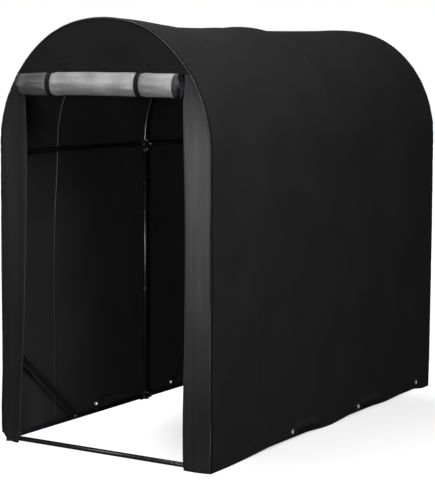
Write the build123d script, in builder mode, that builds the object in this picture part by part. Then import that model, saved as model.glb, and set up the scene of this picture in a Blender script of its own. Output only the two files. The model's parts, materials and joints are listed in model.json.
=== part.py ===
"""Bike shelter: a fabric cover with a rolled-up front door over a frame of steel tubes.

Units are millimetres. X runs across, Y from the front to the rear and Z up. The origin is the
middle of the ground under the whole shelter, its rolled-up door included.
"""

from build123d import *

import os
from math import cos, pi, sin, sqrt

# Driving dimensions of the shelter
WIDTH = 1000.0
DEPTH = 2000.0
SPRING_HEIGHT = 1220.0  # the straight legs end and the arches begin here
ARCH_RISE = 495.5  # from the spring line to the top of the cover
CLOTH = 3.0  # thickness of every cover panel

# Steel tubes and the sockets that join them
TUBE_RADIUS = 10.0
FLATS = 12  # sides that stand for the round of the tubes, sockets and eyelet flanges
ARCH_CHORDS = 24  # straight lengths that stand for the bend of each arch
SOCKET_RADIUS = 14.5
SOCKET_BORE = 10.15
SOCKET_REACH = 36.0  # from the middle of a fitting to the mouth of each socket
TUBE_STOP = 13.0  # from the middle of a fitting to the floor of each socket
RAIL_HEIGHT = 15.0
MIDDLE_DROP = 14.0  # the middle arch sits lower, in shorter upper sockets

# Corner braces: a tube with both ends pressed flat and laid against the frame
BRACE_RADIUS = 9.0
BRACE_TOP = 400.0  # height on the corner leg
BRACE_RUN = 440.0  # distance along the floor rail
TAB_THICKNESS = 3.0
TAB_LENGTH = 26.0
PRESSED_LENGTH = 34.0  # over which the tube flattens into its tab

# Front opening and the door rolled up over it
OPENING_HALF_WIDTH = 382.0
JAMB_DRAWN_BACK = 46.0  # the left jamb narrows by this much towards the ground
JAMB_DRAWN_HEIGHT = 640.0
ROLL_HALF_HEIGHT = 48.5
ROLL_HALF_DEPTH = 40.0
ROLL_HEIGHT = 1460.0
ROLL_STANDOFF = 27.5  # from the front face to the axis of the roll
ROLL_HALF_LENGTH = 383.0
ROLL_FLATS = 32  # sides that stand for the round of the roll and of the straps round it
STRAP_WIDTH = 22.0
STRAP_THICKNESS = 2.5
STRAP_TOP = 1538.0
LEFT_STRAP_X = -216.0
RIGHT_STRAP_X = 203.0

# Cover
FRONT_BAY_SAG = 17.0  # how far the roof dips halfway between two arches
REAR_BAY_SAG = 10.0
HEM_HEIGHT = 62.0
EYELET_BORE = 6.0
EYELET_BARREL = 7.5
EYELET_FLANGE = 12.0
FLANGE_THICKNESS = 1.0
EYELETS = ((640.0, 39.0), (1240.0, 36.0), (1850.0, 42.0))  # behind the front face, above the ground
HEM_LIFTS = (  # lower edge of the hem: behind the front face, above the ground
    (100.0, 0.0),
    (600.0, 13.0),
    (960.0, 3.0),
    (1200.0, 15.0),
    (1480.0, 10.0),
    (1800.0, 18.0),
    (1940.0, 0.0),
)

# Places worked out from the driving dimensions
ROLL_PROUD = ROLL_STANDOFF + ROLL_HALF_DEPTH + STRAP_THICKNESS
FRONT_Y = -(DEPTH - ROLL_PROUD) / 2
REAR_Y = FRONT_Y + DEPTH
MIDDLE_Y = FRONT_Y + DEPTH / 2
HALF_WIDTH = WIDTH / 2
FRAME_INSET = CLOTH + SOCKET_RADIUS
LEG_X = HALF_WIDTH - FRAME_INSET
FRONT_HOOP_Y = FRONT_Y + FRAME_INSET
REAR_HOOP_Y = REAR_Y - FRAME_INSET
SHOULDER_HEIGHT = SPRING_HEIGHT - SOCKET_REACH
ROLL_Y = FRONT_Y - ROLL_STANDOFF
STRAP_FLAT = (ROLL_HALF_HEIGHT + STRAP_THICKNESS) * sqrt(
    1 - (ROLL_STANDOFF / (ROLL_HALF_DEPTH + STRAP_THICKNESS)) ** 2
)  # half a strap's height where it meets the front
FASCIA_EDGE = ROLL_HEIGHT + STRAP_FLAT
HOOP_BAND = 2 * (FRAME_INSET - CLOTH)  # length of roof that lies straight over an arch
HOOPS = {"front": FRONT_HOOP_Y, "middle": MIDDLE_Y, "rear": REAR_HOOP_Y}
DROPS = {"front": 0.0, "middle": MIDDLE_DROP, "rear": 0.0}
SIDES = {"left": -1, "right": 1}


def save(piece, label):
    """Name a finished piece and write its file."""
    piece.label = label
    export_step(piece, f"parts/{label}.step")


def straight_tube(start, end):
    """A round tube between two points."""
    run = Vector(*end) - Vector(*start)
    with BuildPart() as tube:
        with BuildSketch(Plane(origin=start, z_dir=run)):
            RegularPolygon(TUBE_RADIUS, FLATS)
        extrude(amount=run.length)
    return tube.part


def hoop_arch(hoop):
    """The bent tube over one hoop: half a circle with a straight tail down into each socket."""
    y = HOOPS[hoop]
    spring = SPRING_HEIGHT - DROPS[hoop]
    foot = SHOULDER_HEIGHT + TUBE_STOP
    turns = [pi * step / ARCH_CHORDS for step in range(ARCH_CHORDS + 1)]
    bend = [(-LEG_X * cos(turn), spring + LEG_X * sin(turn)) for turn in turns]
    with BuildPart() as arch:
        with BuildLine(Plane.XZ.offset(-y)) as path:
            Polyline((-LEG_X, foot), *bend, (LEG_X, foot))
        with BuildSketch(Plane(origin=(-LEG_X, y, foot), z_dir=(0, 0, 1))):
            RegularPolygon(TUBE_RADIUS, FLATS)
        sweep(path=path.line, transition=Transition.RIGHT)
    return arch.part


def fitting(x, y, z, arms, foot=False):
    """A moulded joint with a blind round socket along each arm, and a flat foot at floor level."""
    centre = Vector(x, y, z)
    with BuildPart() as joint:
        for arm, reach in arms:
            with BuildSketch(Plane(origin=centre - Vector(*arm) * SOCKET_RADIUS, z_dir=arm)):
                RegularPolygon(SOCKET_RADIUS, FLATS)
            extrude(amount=SOCKET_RADIUS + reach)
        if foot:
            with BuildSketch(Plane(origin=(x, y, 0), z_dir=(0, 0, 1))):
                RegularPolygon(SOCKET_RADIUS, FLATS)
            extrude(amount=z)
        for arm, reach in arms:
            mouth = centre + Vector(*arm) * TUBE_STOP
            with BuildSketch(Plane(origin=mouth, z_dir=arm)):
                RegularPolygon(SOCKET_BORE, FLATS)
            extrude(amount=reach, mode=Mode.SUBTRACT)
    return joint.part


def fitting_pair(hoop, z, arms, foot=False):
    """The same joint on the left and right legs of one hoop, with its crosswise arms mirrored."""
    pair = []
    for side in SIDES.values():
        own = [((-side * arm[0], arm[1], arm[2]), SOCKET_REACH) for arm in arms]
        if z == SHOULDER_HEIGHT:
            own.append(((0, 0, 1), SOCKET_REACH - DROPS[hoop]))
        pair.append(fitting(side * LEG_X, HOOPS[hoop], z, own, foot))
    return Compound(children=pair)


def corner_brace(side, hoop, along):
    """A diagonal tube from a corner leg down to the floor rail, with its ends pressed flat."""
    axis_x = side * (LEG_X - TUBE_RADIUS - TAB_THICKNESS / 2)
    top = Vector(axis_x, HOOPS[hoop], BRACE_TOP)
    bottom = Vector(axis_x, HOOPS[hoop] + along * BRACE_RUN, RAIL_HEIGHT)
    run = bottom - top
    length = run.length
    across = Vector(1, 0, 0)
    tab = TAB_THICKNESS / 2
    full = TAB_LENGTH + PRESSED_LENGTH
    edge = [(0, tab), (TAB_LENGTH, tab), (full, BRACE_RADIUS)]
    edge += [(length - along, half) for along, half in reversed(edge)]
    with BuildPart() as brace:
        with BuildSketch(Plane(origin=top, x_dir=across, z_dir=run)):
            RegularPolygon(BRACE_RADIUS, FLATS)
        extrude(amount=length)
        with BuildSketch(Plane(origin=top, x_dir=run, z_dir=run.cross(across))):
            with BuildLine():
                Polyline(*edge, *[(along, -half) for along, half in reversed(edge)], close=True)
            make_face()
        extrude(amount=BRACE_RADIUS, both=True, mode=Mode.INTERSECT)
    return brace.part


def front_outline():
    """The door-shaped outline of an end of the shelter, for use inside a sketch."""
    with Locations((0, SPRING_HEIGHT)):
        Ellipse(HALF_WIDTH, ARCH_RISE)
    with Locations((0, SPRING_HEIGHT / 2)):
        Rectangle(WIDTH, SPRING_HEIGHT)


def end_plane(y):
    """A sketch plane across the shelter at y, with its first axis along X and second along Z."""
    return Plane(origin=(0, y, 0), x_dir=(1, 0, 0), z_dir=(0, -1, 0))


def end_panel(y, low, high, left, right):
    """Part of an end of the cover, between two heights and two distances from the middle."""
    with BuildPart() as panel:
        with BuildSketch(end_plane(y + CLOTH)):
            front_outline()
            with Locations(((left + right) / 2, (low + high) / 2)):
                Rectangle(right - left, high - low, mode=Mode.INTERSECT)
        extrude(amount=CLOTH)
    return panel.part


def drawn_jamb(side, drawn_back):
    """A strip of the front beside the doorway, with its free edge drawn back near the ground."""
    outer = side * HALF_WIDTH
    inner = side * OPENING_HALF_WIDTH
    foot = side * (OPENING_HALF_WIDTH + drawn_back)
    with BuildPart() as jamb:
        with BuildSketch(end_plane(FRONT_Y + CLOTH)):
            front_outline()
            with BuildLine():
                edge = Spline((foot, 0), (inner, JAMB_DRAWN_HEIGHT), tangents=((-side, 4), (0, 1)))
                Polyline(edge @ 1, (inner, FASCIA_EDGE), (outer, FASCIA_EDGE), (outer, 0), edge @ 0)
            make_face(mode=Mode.INTERSECT)
        extrude(amount=CLOTH)
    return jamb.part


def roof_band(drop):
    """The roof's arched section, lowered at its top by a drop, for use inside a sketch."""
    rise = ARCH_RISE - drop
    with Locations((0, SPRING_HEIGHT)):
        Ellipse(HALF_WIDTH, rise)
        Ellipse(HALF_WIDTH - CLOTH, rise - CLOTH, mode=Mode.SUBTRACT)
    with Locations((0, SPRING_HEIGHT + rise)):
        Rectangle(2 * WIDTH, 2 * rise, mode=Mode.INTERSECT)


def roof_bay(stations):
    """The roof over one bay, through its drop at each distance behind the front."""
    with BuildPart() as bay:
        for distance, drop in stations:
            with BuildSketch(end_plane(FRONT_Y + distance)):
                roof_band(drop)
        loft(ruled=True)
    return bay.part


def bay_stations(sag):
    """Distance from an end of the shelter, and drop, where a bay's section is given.

    The roof lies level over the end arch, then dips on its way to the middle one.
    """
    start = CLOTH + HOOP_BAND
    stations = [(CLOTH, 0), (start, 0)]
    for share in (1 / 3, 2 / 3):
        dip = 4 * sag * share * (1 - share)
        stations.append((start + share * (DEPTH / 2 - start), share * MIDDLE_DROP + dip))
    return stations + [(DEPTH / 2, MIDDLE_DROP)]


def side_plane(x):
    """A sketch plane along one side at x, with its first axis along Y and second along Z."""
    return Plane(origin=(x, 0, 0), x_dir=(0, 1, 0), z_dir=(1, 0, 0))


def side_wall(side):
    """One long wall, from the top of its hem to the spring of the roof."""
    with BuildPart() as wall:
        with BuildSketch(side_plane(side * (HALF_WIDTH - CLOTH / 2))):
            with Locations((MIDDLE_Y, (HEM_HEIGHT + SPRING_HEIGHT) / 2)):
                Rectangle(DEPTH - 2 * CLOTH, SPRING_HEIGHT - HEM_HEIGHT)
        extrude(amount=CLOTH / 2, both=True)
    return wall.part


def side_hem(side):
    """The hem band of one long wall, lifted between its corners and pierced for its eyelets."""
    front = FRONT_Y + CLOTH
    rear = REAR_Y - CLOTH
    with BuildPart() as hem:
        with BuildSketch(side_plane(side * (HALF_WIDTH - CLOTH / 2))):
            with BuildLine():
                lifts = [(FRONT_Y + y, z) for y, z in HEM_LIFTS]
                flat = Line((front, 0), lifts[0])
                edge = Spline(*lifts, tangents=((1, 0), (1, 0)))
                last = Line(edge @ 1, (rear, 0))
                Polyline(last @ 1, (rear, HEM_HEIGHT), (front, HEM_HEIGHT), flat @ 0)
            make_face()
            with Locations(*[(FRONT_Y + y, z) for y, z in EYELETS]):
                Circle(EYELET_BARREL, mode=Mode.SUBTRACT)
        extrude(amount=CLOTH / 2, both=True)
    return hem.part


def eyelet(side, y, z):
    """A pressed metal eyelet: a barrel through the hem with a flange on each face."""
    half = CLOTH / 2
    with BuildPart() as ring:
        with BuildSketch(side_plane(side * (HALF_WIDTH - half))):
            with Locations((FRONT_Y + y, z)):
                Circle(EYELET_BARREL)
                Circle(EYELET_BORE, mode=Mode.SUBTRACT)
        extrude(amount=half + FLANGE_THICKNESS, both=True)
        for face in (-1, 1):
            with BuildSketch(side_plane(side * (HALF_WIDTH - half) + face * half)):
                with Locations((FRONT_Y + y, z)):
                    RegularPolygon(EYELET_FLANGE, FLATS)
                    Circle(EYELET_BORE, mode=Mode.SUBTRACT)
            extrude(amount=face * FLANGE_THICKNESS)
    return ring.part


def roll_section(grow, way):
    """The rolled door's oval, grown by a thickness and added or cut, in a side sketch."""
    with BuildSketch(mode=Mode.PRIVATE) as oval:
        RegularPolygon(1, ROLL_FLATS)
        scale(by=(ROLL_HALF_DEPTH + grow, ROLL_HALF_HEIGHT + grow, 1))
    with Locations((ROLL_Y, ROLL_HEIGHT)):
        add(oval.sketch, mode=way)


def before_front():
    """Cut a side sketch at the front face, where the rolled door lies flat."""
    with Locations((FRONT_Y - ROLL_HALF_HEIGHT, ROLL_HEIGHT)):
        Rectangle(2 * ROLL_HALF_HEIGHT, 4 * ROLL_HALF_HEIGHT, mode=Mode.INTERSECT)


def door_roll():
    """The fabric door, rolled up and lying against the front."""
    with BuildPart() as roll:
        with BuildSketch(side_plane(-ROLL_HALF_LENGTH)):
            roll_section(0, Mode.ADD)
            before_front()
        extrude(amount=2 * ROLL_HALF_LENGTH)
    return roll.part


def door_strap(x):
    """A webbing loop that carries the roll, with its top end flat on the fascia."""
    with BuildPart() as strap:
        with BuildSketch(side_plane(x - STRAP_WIDTH / 2)):
            roll_section(STRAP_THICKNESS, Mode.ADD)
            before_front()
            with Locations((FRONT_Y - STRAP_THICKNESS / 2, (ROLL_HEIGHT + STRAP_TOP) / 2)):
                Rectangle(STRAP_THICKNESS, STRAP_TOP - ROLL_HEIGHT)
            roll_section(0, Mode.SUBTRACT)
        extrude(amount=STRAP_WIDTH)
    return strap.part


def build_frame():
    """Tubes and fittings of the frame."""
    hoops = list(HOOPS)
    for name, y in HOOPS.items():
        save(hoop_arch(name), f"{name}_arch")
        for side_name, side in SIDES.items():
            x = side * LEG_X
            leg = straight_tube((x, y, RAIL_HEIGHT + TUBE_STOP), (x, y, SHOULDER_HEIGHT - TUBE_STOP))
            save(leg, f"{side_name}_{name}_leg")
    for bay, (start, end) in zip(("front", "rear"), zip(hoops, hoops[1:])):
        low, high = HOOPS[start] + TUBE_STOP, HOOPS[end] - TUBE_STOP
        for side_name, side in SIDES.items():
            x = side * LEG_X
            floor_rail = straight_tube((x, low, RAIL_HEIGHT), (x, high, RAIL_HEIGHT))
            save(floor_rail, f"{side_name}_{bay}_floor_rail")
            side_rail = straight_tube((x, low, SHOULDER_HEIGHT), (x, high, SHOULDER_HEIGHT))
            save(side_rail, f"{side_name}_{bay}_side_rail")
    for name, along in (("front", 1), ("rear", -1)):
        y = HOOPS[name]
        reach = LEG_X - TUBE_STOP
        save(straight_tube((-reach, y, RAIL_HEIGHT), (reach, y, RAIL_HEIGHT)), f"{name}_sill_bar")
        for side_name, side in SIDES.items():
            save(corner_brace(side, name, along), f"{side_name}_{name}_brace")


def build_fittings():
    """The sockets at the floor and at the shoulders, a left and right pair in each file."""
    up, down = (0, 0, 1), (0, 0, -1)
    back, forth = (0, 1, 0), (0, -1, 0)
    inward = (1, 0, 0)
    save(fitting_pair("front", RAIL_HEIGHT, (up, back, inward), foot=True), "front_corner_sockets")
    save(fitting_pair("middle", RAIL_HEIGHT, (up, back, forth), foot=True), "middle_foot_sockets")
    save(fitting_pair("rear", RAIL_HEIGHT, (up, forth, inward), foot=True), "rear_corner_sockets")
    save(fitting_pair("front", SHOULDER_HEIGHT, (down, back)), "front_shoulder_sockets")
    save(fitting_pair("middle", SHOULDER_HEIGHT, (down, back, forth)), "middle_shoulder_crosses")
    save(fitting_pair("rear", SHOULDER_HEIGHT, (down, forth)), "rear_shoulder_sockets")


def build_cover():
    """Panels, hems and eyelets of the fabric cover."""
    crown = SPRING_HEIGHT + ARCH_RISE
    save(end_panel(FRONT_Y, FASCIA_EDGE, crown, -HALF_WIDTH, HALF_WIDTH), "front_fascia")
    save(end_panel(REAR_Y - CLOTH, 0, crown, -HALF_WIDTH, HALF_WIDTH), "rear_wall")
    save(drawn_jamb(SIDES["left"], JAMB_DRAWN_BACK), "front_left_jamb")
    save(end_panel(FRONT_Y, 0, FASCIA_EDGE, OPENING_HALF_WIDTH, HALF_WIDTH), "front_right_jamb")
    save(roof_bay(bay_stations(FRONT_BAY_SAG)), "roof_front_bay")
    mirrored = [(DEPTH - distance, drop) for distance, drop in bay_stations(REAR_BAY_SAG)]
    save(roof_bay(mirrored[::-1]), "roof_rear_bay")
    for side_name, side in SIDES.items():
        save(side_wall(side), f"{side_name}_wall")
        save(side_hem(side), f"{side_name}_hem")
        rings = [eyelet(side, y, z) for y, z in EYELETS]
        save(Compound(children=rings), f"{side_name}_eyelets")


def build_door():
    """The rolled-up door and the two straps that hold it."""
    save(door_roll(), "door_roll")
    save(door_strap(LEFT_STRAP_X), "left_door_strap")
    save(door_strap(RIGHT_STRAP_X), "right_door_strap")


os.makedirs("parts", exist_ok=True)
build_frame()
build_fittings()
build_cover()
build_door()
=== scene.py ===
"""Dresses the bike shelter: cloth cover, rolled-up door, webbing, trims, tube frame and studio.

Everything is in metres in the frame's own axes: X across, Y from the door to the rear, Z up.
"""

import json
import logging
import math
from collections.abc import Callable, Iterable, Sequence
from dataclasses import dataclass, field
from enum import Enum

import bmesh
import bpy
from mathutils import Matrix, Vector, noise


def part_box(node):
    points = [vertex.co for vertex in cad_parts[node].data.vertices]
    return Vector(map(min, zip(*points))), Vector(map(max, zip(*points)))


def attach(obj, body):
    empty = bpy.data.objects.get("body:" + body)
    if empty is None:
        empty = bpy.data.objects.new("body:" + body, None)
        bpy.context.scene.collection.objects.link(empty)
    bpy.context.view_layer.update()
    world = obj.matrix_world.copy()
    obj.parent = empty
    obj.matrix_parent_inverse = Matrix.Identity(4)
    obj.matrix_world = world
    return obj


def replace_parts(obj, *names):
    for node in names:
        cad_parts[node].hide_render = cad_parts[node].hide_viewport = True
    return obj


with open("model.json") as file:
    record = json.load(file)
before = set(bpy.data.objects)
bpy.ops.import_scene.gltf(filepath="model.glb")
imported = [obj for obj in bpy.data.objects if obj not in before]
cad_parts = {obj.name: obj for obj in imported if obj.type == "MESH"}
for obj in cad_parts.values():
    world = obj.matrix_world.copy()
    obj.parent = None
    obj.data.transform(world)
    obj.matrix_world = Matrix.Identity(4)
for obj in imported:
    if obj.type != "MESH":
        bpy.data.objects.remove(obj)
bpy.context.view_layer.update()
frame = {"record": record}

LOG = logging.getLogger("shelter")
TAU = 2 * math.pi
LEFT, RIGHT = -1, 1
SIDES = {"left": LEFT, "right": RIGHT}
BAYS = ("front", "rear")
FORWARD = Vector((0, -1, 0))
Colour = tuple[float, float, float, float]
Span = tuple[float, float]
Stations = Sequence[tuple[float, float]]


# Shader expressions


@dataclass(frozen=True)
class Cloud:
    """Soft noise over an object: cells a metre, detail, and stretch along each axis."""

    cells: float
    detail: float = 3.0
    stretch: tuple[float, float, float] = (1.0, 1.0, 1.0)


class Signal:
    """A node socket that takes part in Python arithmetic."""

    def __init__(self, graph: "Graph", socket: bpy.types.NodeSocket) -> None:
        """Keep the socket and the graph that it belongs to."""
        self.graph = graph
        self.socket = socket

    def _math(self, operation: str, *terms: "Signal | float") -> "Signal":
        """Join terms with one Math node.

        Args:
            operation: The Math node's operation.
            terms: Its inputs, in order.

        Returns:
            The node's value.
        """
        return self.graph.node("ShaderNodeMath", {"operation": operation}, dict(enumerate(terms)))

    def __add__(self, other: "Signal | float") -> "Signal":
        """Sum."""
        return self._math("ADD", self, other)

    __radd__ = __add__

    def __sub__(self, other: "Signal | float") -> "Signal":
        """Difference."""
        return self._math("SUBTRACT", self, other)

    def __rsub__(self, other: "Signal | float") -> "Signal":
        """Difference from a number."""
        return self._math("SUBTRACT", other, self)

    def __mul__(self, other: "Signal | float") -> "Signal":
        """Product."""
        return self._math("MULTIPLY", self, other)

    __rmul__ = __mul__

    def __abs__(self) -> "Signal":
        """Size without sign."""
        return self._math("ABSOLUTE", self)

    def sin(self) -> "Signal":
        """Sine of an angle in radians."""
        return self._math("SINE", self)

    def to_share(self) -> "Signal":
        """A value from -1 to 1 as a share from 0 to 1."""
        return self * 0.5 + 0.5

    def to_nearest(self, pitch: float) -> "Signal":
        """Distance to the nearest multiple of a pitch."""
        return self._math("PINGPONG", self, pitch / 2)

    def step(self, low: float, high: float) -> "Signal":
        """A smooth rise from 0 at low to 1 at high."""
        return self.graph.node(
            "ShaderNodeMapRange",
            {"interpolation_type": "SMOOTHSTEP"},
            {"Value": self, "From Min": low, "From Max": high},
        )


class Graph:
    """The node tree of one material or world, filled by one method."""

    def __init__(self, tree: bpy.types.NodeTree) -> None:
        """Empty the tree and keep it."""
        tree.nodes.clear()
        self.tree = tree

    def node(
        self,
        kind: str,
        settings: dict | None = None,
        inputs: dict | None = None,
        output: int | str = 0,
    ) -> Signal:
        """Add a node.

        Args:
            kind: The node's type.
            settings: Its own settings, set first.
            inputs: Values or signals by socket name or place.
            output: Which of its outputs is returned.

        Returns:
            The chosen output as a signal.
        """
        made = self.tree.nodes.new(kind)
        for name, value in (settings or {}).items():
            setattr(made, name, value)
        for key, value in (inputs or {}).items():
            if isinstance(value, Signal):
                self.tree.links.new(value.socket, made.inputs[key])
            else:
                made.inputs[key].default_value = value
        outputs = made.outputs
        return Signal(self, outputs[output]) if len(outputs) else Signal(self, made.inputs[0])

    def mix(self, share: Signal | float, low: Signal | tuple, high: Signal | tuple) -> Signal:
        """Blend two colours by a share from 0 to 1."""
        return self.node(
            "ShaderNodeMix", {"data_type": "RGBA"}, {0: share, 6: low, 7: high}, output=2
        )

    def blend(self, share: Signal | float, low: Signal, high: Signal) -> Signal:
        """Blend two shaders by a share from 0 to 1."""
        return self.node("ShaderNodeMixShader", None, {0: share, 1: low, 2: high})

    def split(self, vector: Signal) -> tuple[Signal, Signal, Signal]:
        """The three parts of a vector."""
        outputs = self.node("ShaderNodeSeparateXYZ", None, {0: vector}).socket.node.outputs
        return Signal(self, outputs[0]), Signal(self, outputs[1]), Signal(self, outputs[2])

    def uv(self) -> tuple[Signal, Signal]:
        """The piece's own cloth coordinates, in metres along and across."""
        return self.split(self.node("ShaderNodeTexCoord", output="UV"))[:2]

    def place(self) -> Signal:
        """Object coordinates, in metres."""
        return self.node("ShaderNodeTexCoord", output="Object")

    def cloud(self, cloud: Cloud) -> Signal:
        """Soft noise over the object."""
        spot = self.node("ShaderNodeMapping", None, {0: self.place(), 3: cloud.stretch})
        inputs = {"Vector": spot, "Scale": cloud.cells, "Detail": cloud.detail}
        return self.node("ShaderNodeTexNoise", None, inputs)

    def bump(self, height: Signal, depth: float, under: Signal | None = None) -> Signal:
        """Turn a height from 0 to 1 into a normal, over another normal if there is one."""
        inputs: dict = {"Height": height, "Strength": 1.0, "Distance": depth}
        if under is not None:
            inputs["Normal"] = under
        return self.node("ShaderNodeBump", None, inputs)

    def weave(self, pitch: float) -> Signal:
        """Crossing threads of a plain weave."""
        along, across = self.uv()
        turns = TAU / pitch
        return ((along * turns).sin() * (across * turns).sin()).to_share()

    def camera_rays(self) -> Signal:
        """1 for rays straight from the camera, which see the white surroundings."""
        return self.node("ShaderNodeLightPath", output="Is Camera Ray")

    def surface(self, **sockets: Signal | float | tuple) -> None:
        """Finish with a Principled shader whose sockets are named with underscores."""
        inputs = {name.replace("_", " "): value for name, value in sockets.items()}
        shader = self.node("ShaderNodeBsdfPrincipled", None, inputs)
        self.node("ShaderNodeOutputMaterial", None, {"Surface": shader})


# Finishes


def grey(level: float) -> Colour:
    """A neutral colour."""
    return (level, level, level, 1.0)


def scaled(colour: Colour, share: float) -> Colour:
    """A darker or lighter shade of a colour."""
    red, green, blue = (part * share for part in colour[:3])
    return (red, green, blue, 1.0)


@dataclass(frozen=True)
class Finish:
    """A surface finish that is made into one material."""

    name: str

    def build(self) -> bpy.types.Material:
        """Make the material."""
        material = bpy.data.materials.new(self.name)
        material.use_nodes = True
        self.paint(Graph(material.node_tree))
        return material

    def paint(self, graph: Graph) -> None:
        """Fill the material's nodes."""
        raise NotImplementedError


@dataclass(frozen=True)
class CoatedCloth(Finish):
    """Plain-woven polyester with a thin coating, still marked by the way it was packed.

    Along its front edge, up to a given station, the colour is darker: painted shade of the gap behind
    the piping.
    """

    colour: Colour = grey(0.0092)
    faded: Colour = grey(0.0112)
    fading: Span = (0.3, 0.75)
    weave: float = 0.0011
    weave_depth: float = 0.00005
    crumple: Cloud = Cloud(14.0, 5.0, (1.0, 1.0, 0.45))
    crumple_depth: float = 0.0011
    patches: Cloud = Cloud(4.0, 4.0)
    pack_fold: float = 0.31
    fold_width: float = 0.006
    fold_depth: float = 0.0005
    fold_worn: Span = (0.45, 0.7)
    wander: Cloud = Cloud(3.0, 2.0)
    wander_reach: float = 0.02
    roughness: float = 0.58
    roughness_change: float = 0.12
    specular: float = 0.035
    # painted shade band behind the front edge:
    painted_shade_to: float = -10.0
    painted_shade_edge: float = 0.003
    painted_shade_share: float = 0.40

    def paint(self, graph: Graph) -> None:
        """Weave, packing folds and slightly uneven coating."""
        along, across = graph.uv()
        wander = graph.cloud(self.wander) * self.wander_reach
        fold_along = (along + wander).to_nearest(self.pack_fold).step(0.0, self.fold_width)
        fold_across = (across + wander).to_nearest(self.pack_fold).step(0.0, self.fold_width)
        patches = graph.cloud(self.patches)
        crumpled = graph.bump(graph.cloud(self.crumple), self.crumple_depth)
        folds = fold_along * fold_across * patches.step(*self.fold_worn)
        folded = graph.bump(folds, self.fold_depth, crumpled)
        plain = graph.mix(patches.step(*self.fading), self.colour, self.faded)
        # painted shade: a darker band of colour just behind the front piping, where the gap there lies
        # in shade
        painted_shade_band = scaled(self.colour, self.painted_shade_share)
        unshaded = across.step(self.painted_shade_to - self.painted_shade_edge, self.painted_shade_to)
        graph.surface(
            Base_Color=graph.mix(unshaded, painted_shade_band, plain),
            Roughness=self.roughness + (patches - 0.5) * self.roughness_change,
            Normal=graph.bump(graph.weave(self.weave), self.weave_depth, folded),
            Specular_IOR_Level=self.specular,
        )


@dataclass(frozen=True)
class JambCloth(Finish):
    """The cover's cloth beside the doorway, a satin coating whose colour carries painted sheen, palest
    at mid-height.
    """

    low: Colour = grey(0.012)
    high: Colour = grey(0.030)
    # painted sheen by height, and painted shade at the top under the roll:
    sheen_height: Span = (0.15, 1.10)
    sheen_unevenness: float = 0.25
    roll_shade_above: Span = (1.18, 1.46)
    roll_shade_share: float = 0.7
    patches: Cloud = Cloud(5.0)
    streaks: Cloud = Cloud(26.0, 4.0, (1.0, 1.0, 0.06))
    streak_depth: float = 0.0012
    streak_base: float = 0.65
    streak_sheen: float = 0.7
    weave: float = 0.0011
    weave_depth: float = 0.00004
    roughness: float = 0.42
    roughness_change: float = 0.1
    specular: float = 0.08

    def paint(self, graph: Graph) -> None:
        """Satin cloth with painted sheen, palest at mid-height, painted shade at the top under the
        roll, and long vertical streaks of painted sheen.
        """
        height = graph.split(graph.place())[2]
        streaks = graph.cloud(self.streaks)
        patches = graph.cloud(self.patches)
        # painted sheen over a band of heights, painted shade at the top under the rolled door, and
        # painted sheen along the streaks
        uneven = height + patches * self.sheen_unevenness - self.sheen_unevenness / 2
        rub_and_sheen = uneven.step(*self.sheen_height) * (1 - height.step(*self.roll_shade_above) * self.roll_shade_share)
        lit = rub_and_sheen * (self.streak_base + self.streak_sheen * streaks)
        lined = graph.bump(streaks, self.streak_depth)
        graph.surface(
            Base_Color=graph.mix(lit, self.low, self.high),
            Roughness=self.roughness + patches * self.roughness_change,
            Normal=graph.bump(graph.weave(self.weave), self.weave_depth, lined),
            Specular_IOR_Level=self.specular,
        )


@dataclass(frozen=True)
class DoorLining(Finish):
    """Silver-coated inner face of the door, with its dark bound side edges."""

    colour: Colour = grey(0.27)
    shaded: Colour = grey(0.17)
    shading: Span = (0.32, 0.68)
    edge: Colour = (0.012, 0.012, 0.014, 1.0)
    left_shade_share: float = 0.30
    left_shade_beyond: Span = (-0.235, -0.200)
    half_width: float = 0.379
    band: float = 0.018
    band_edge: float = 0.0012
    crumple: Cloud = Cloud(48.0, 6.0, (0.55, 1.0, 1.0))
    crumple_depth: float = 0.0022
    creases: Cloud = Cloud(18.0, 5.0, (0.25, 1.0, 1.6))
    crease_depth: float = 0.004
    patches: Cloud = Cloud(11.0, 4.0)
    weave: float = 0.0012
    weave_depth: float = 0.00005
    roughness: float = 0.4
    roughness_change: float = 0.14
    metal: float = 0.3
    specular: float = 0.3

    def paint(self, graph: Graph) -> None:
        """Silver coating with fine crumpling between two dark bands, with painted shade beyond one
        strap.
        """
        across = graph.uv()[1]
        crumpled = graph.bump(graph.cloud(self.crumple), self.crumple_depth)
        rumpled = graph.bump(graph.cloud(self.creases), self.crease_depth, crumpled)
        start = self.half_width - self.band
        bound = abs(across).step(start, start + self.band_edge)
        patches = graph.cloud(self.patches)
        shades = patches.step(*self.shading)
        lit = graph.mix(shades, self.shaded, self.colour)
        # painted shade: a darker copy of the silver beyond the left strap, where the roll's crumpled
        # end turns away from the light
        dim = graph.mix(shades, scaled(self.shaded, self.left_shade_share), scaled(self.colour, self.left_shade_share))
        silver = graph.mix(across.step(*self.left_shade_beyond), dim, lit)
        graph.surface(
            Base_Color=graph.mix(bound, silver, self.edge),
            Roughness=self.roughness + patches * self.roughness_change,
            Normal=graph.bump(graph.weave(self.weave), self.weave_depth, rumpled),
            Metallic=(1 - bound) * self.metal,
            Specular_IOR_Level=self.specular,
        )


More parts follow.
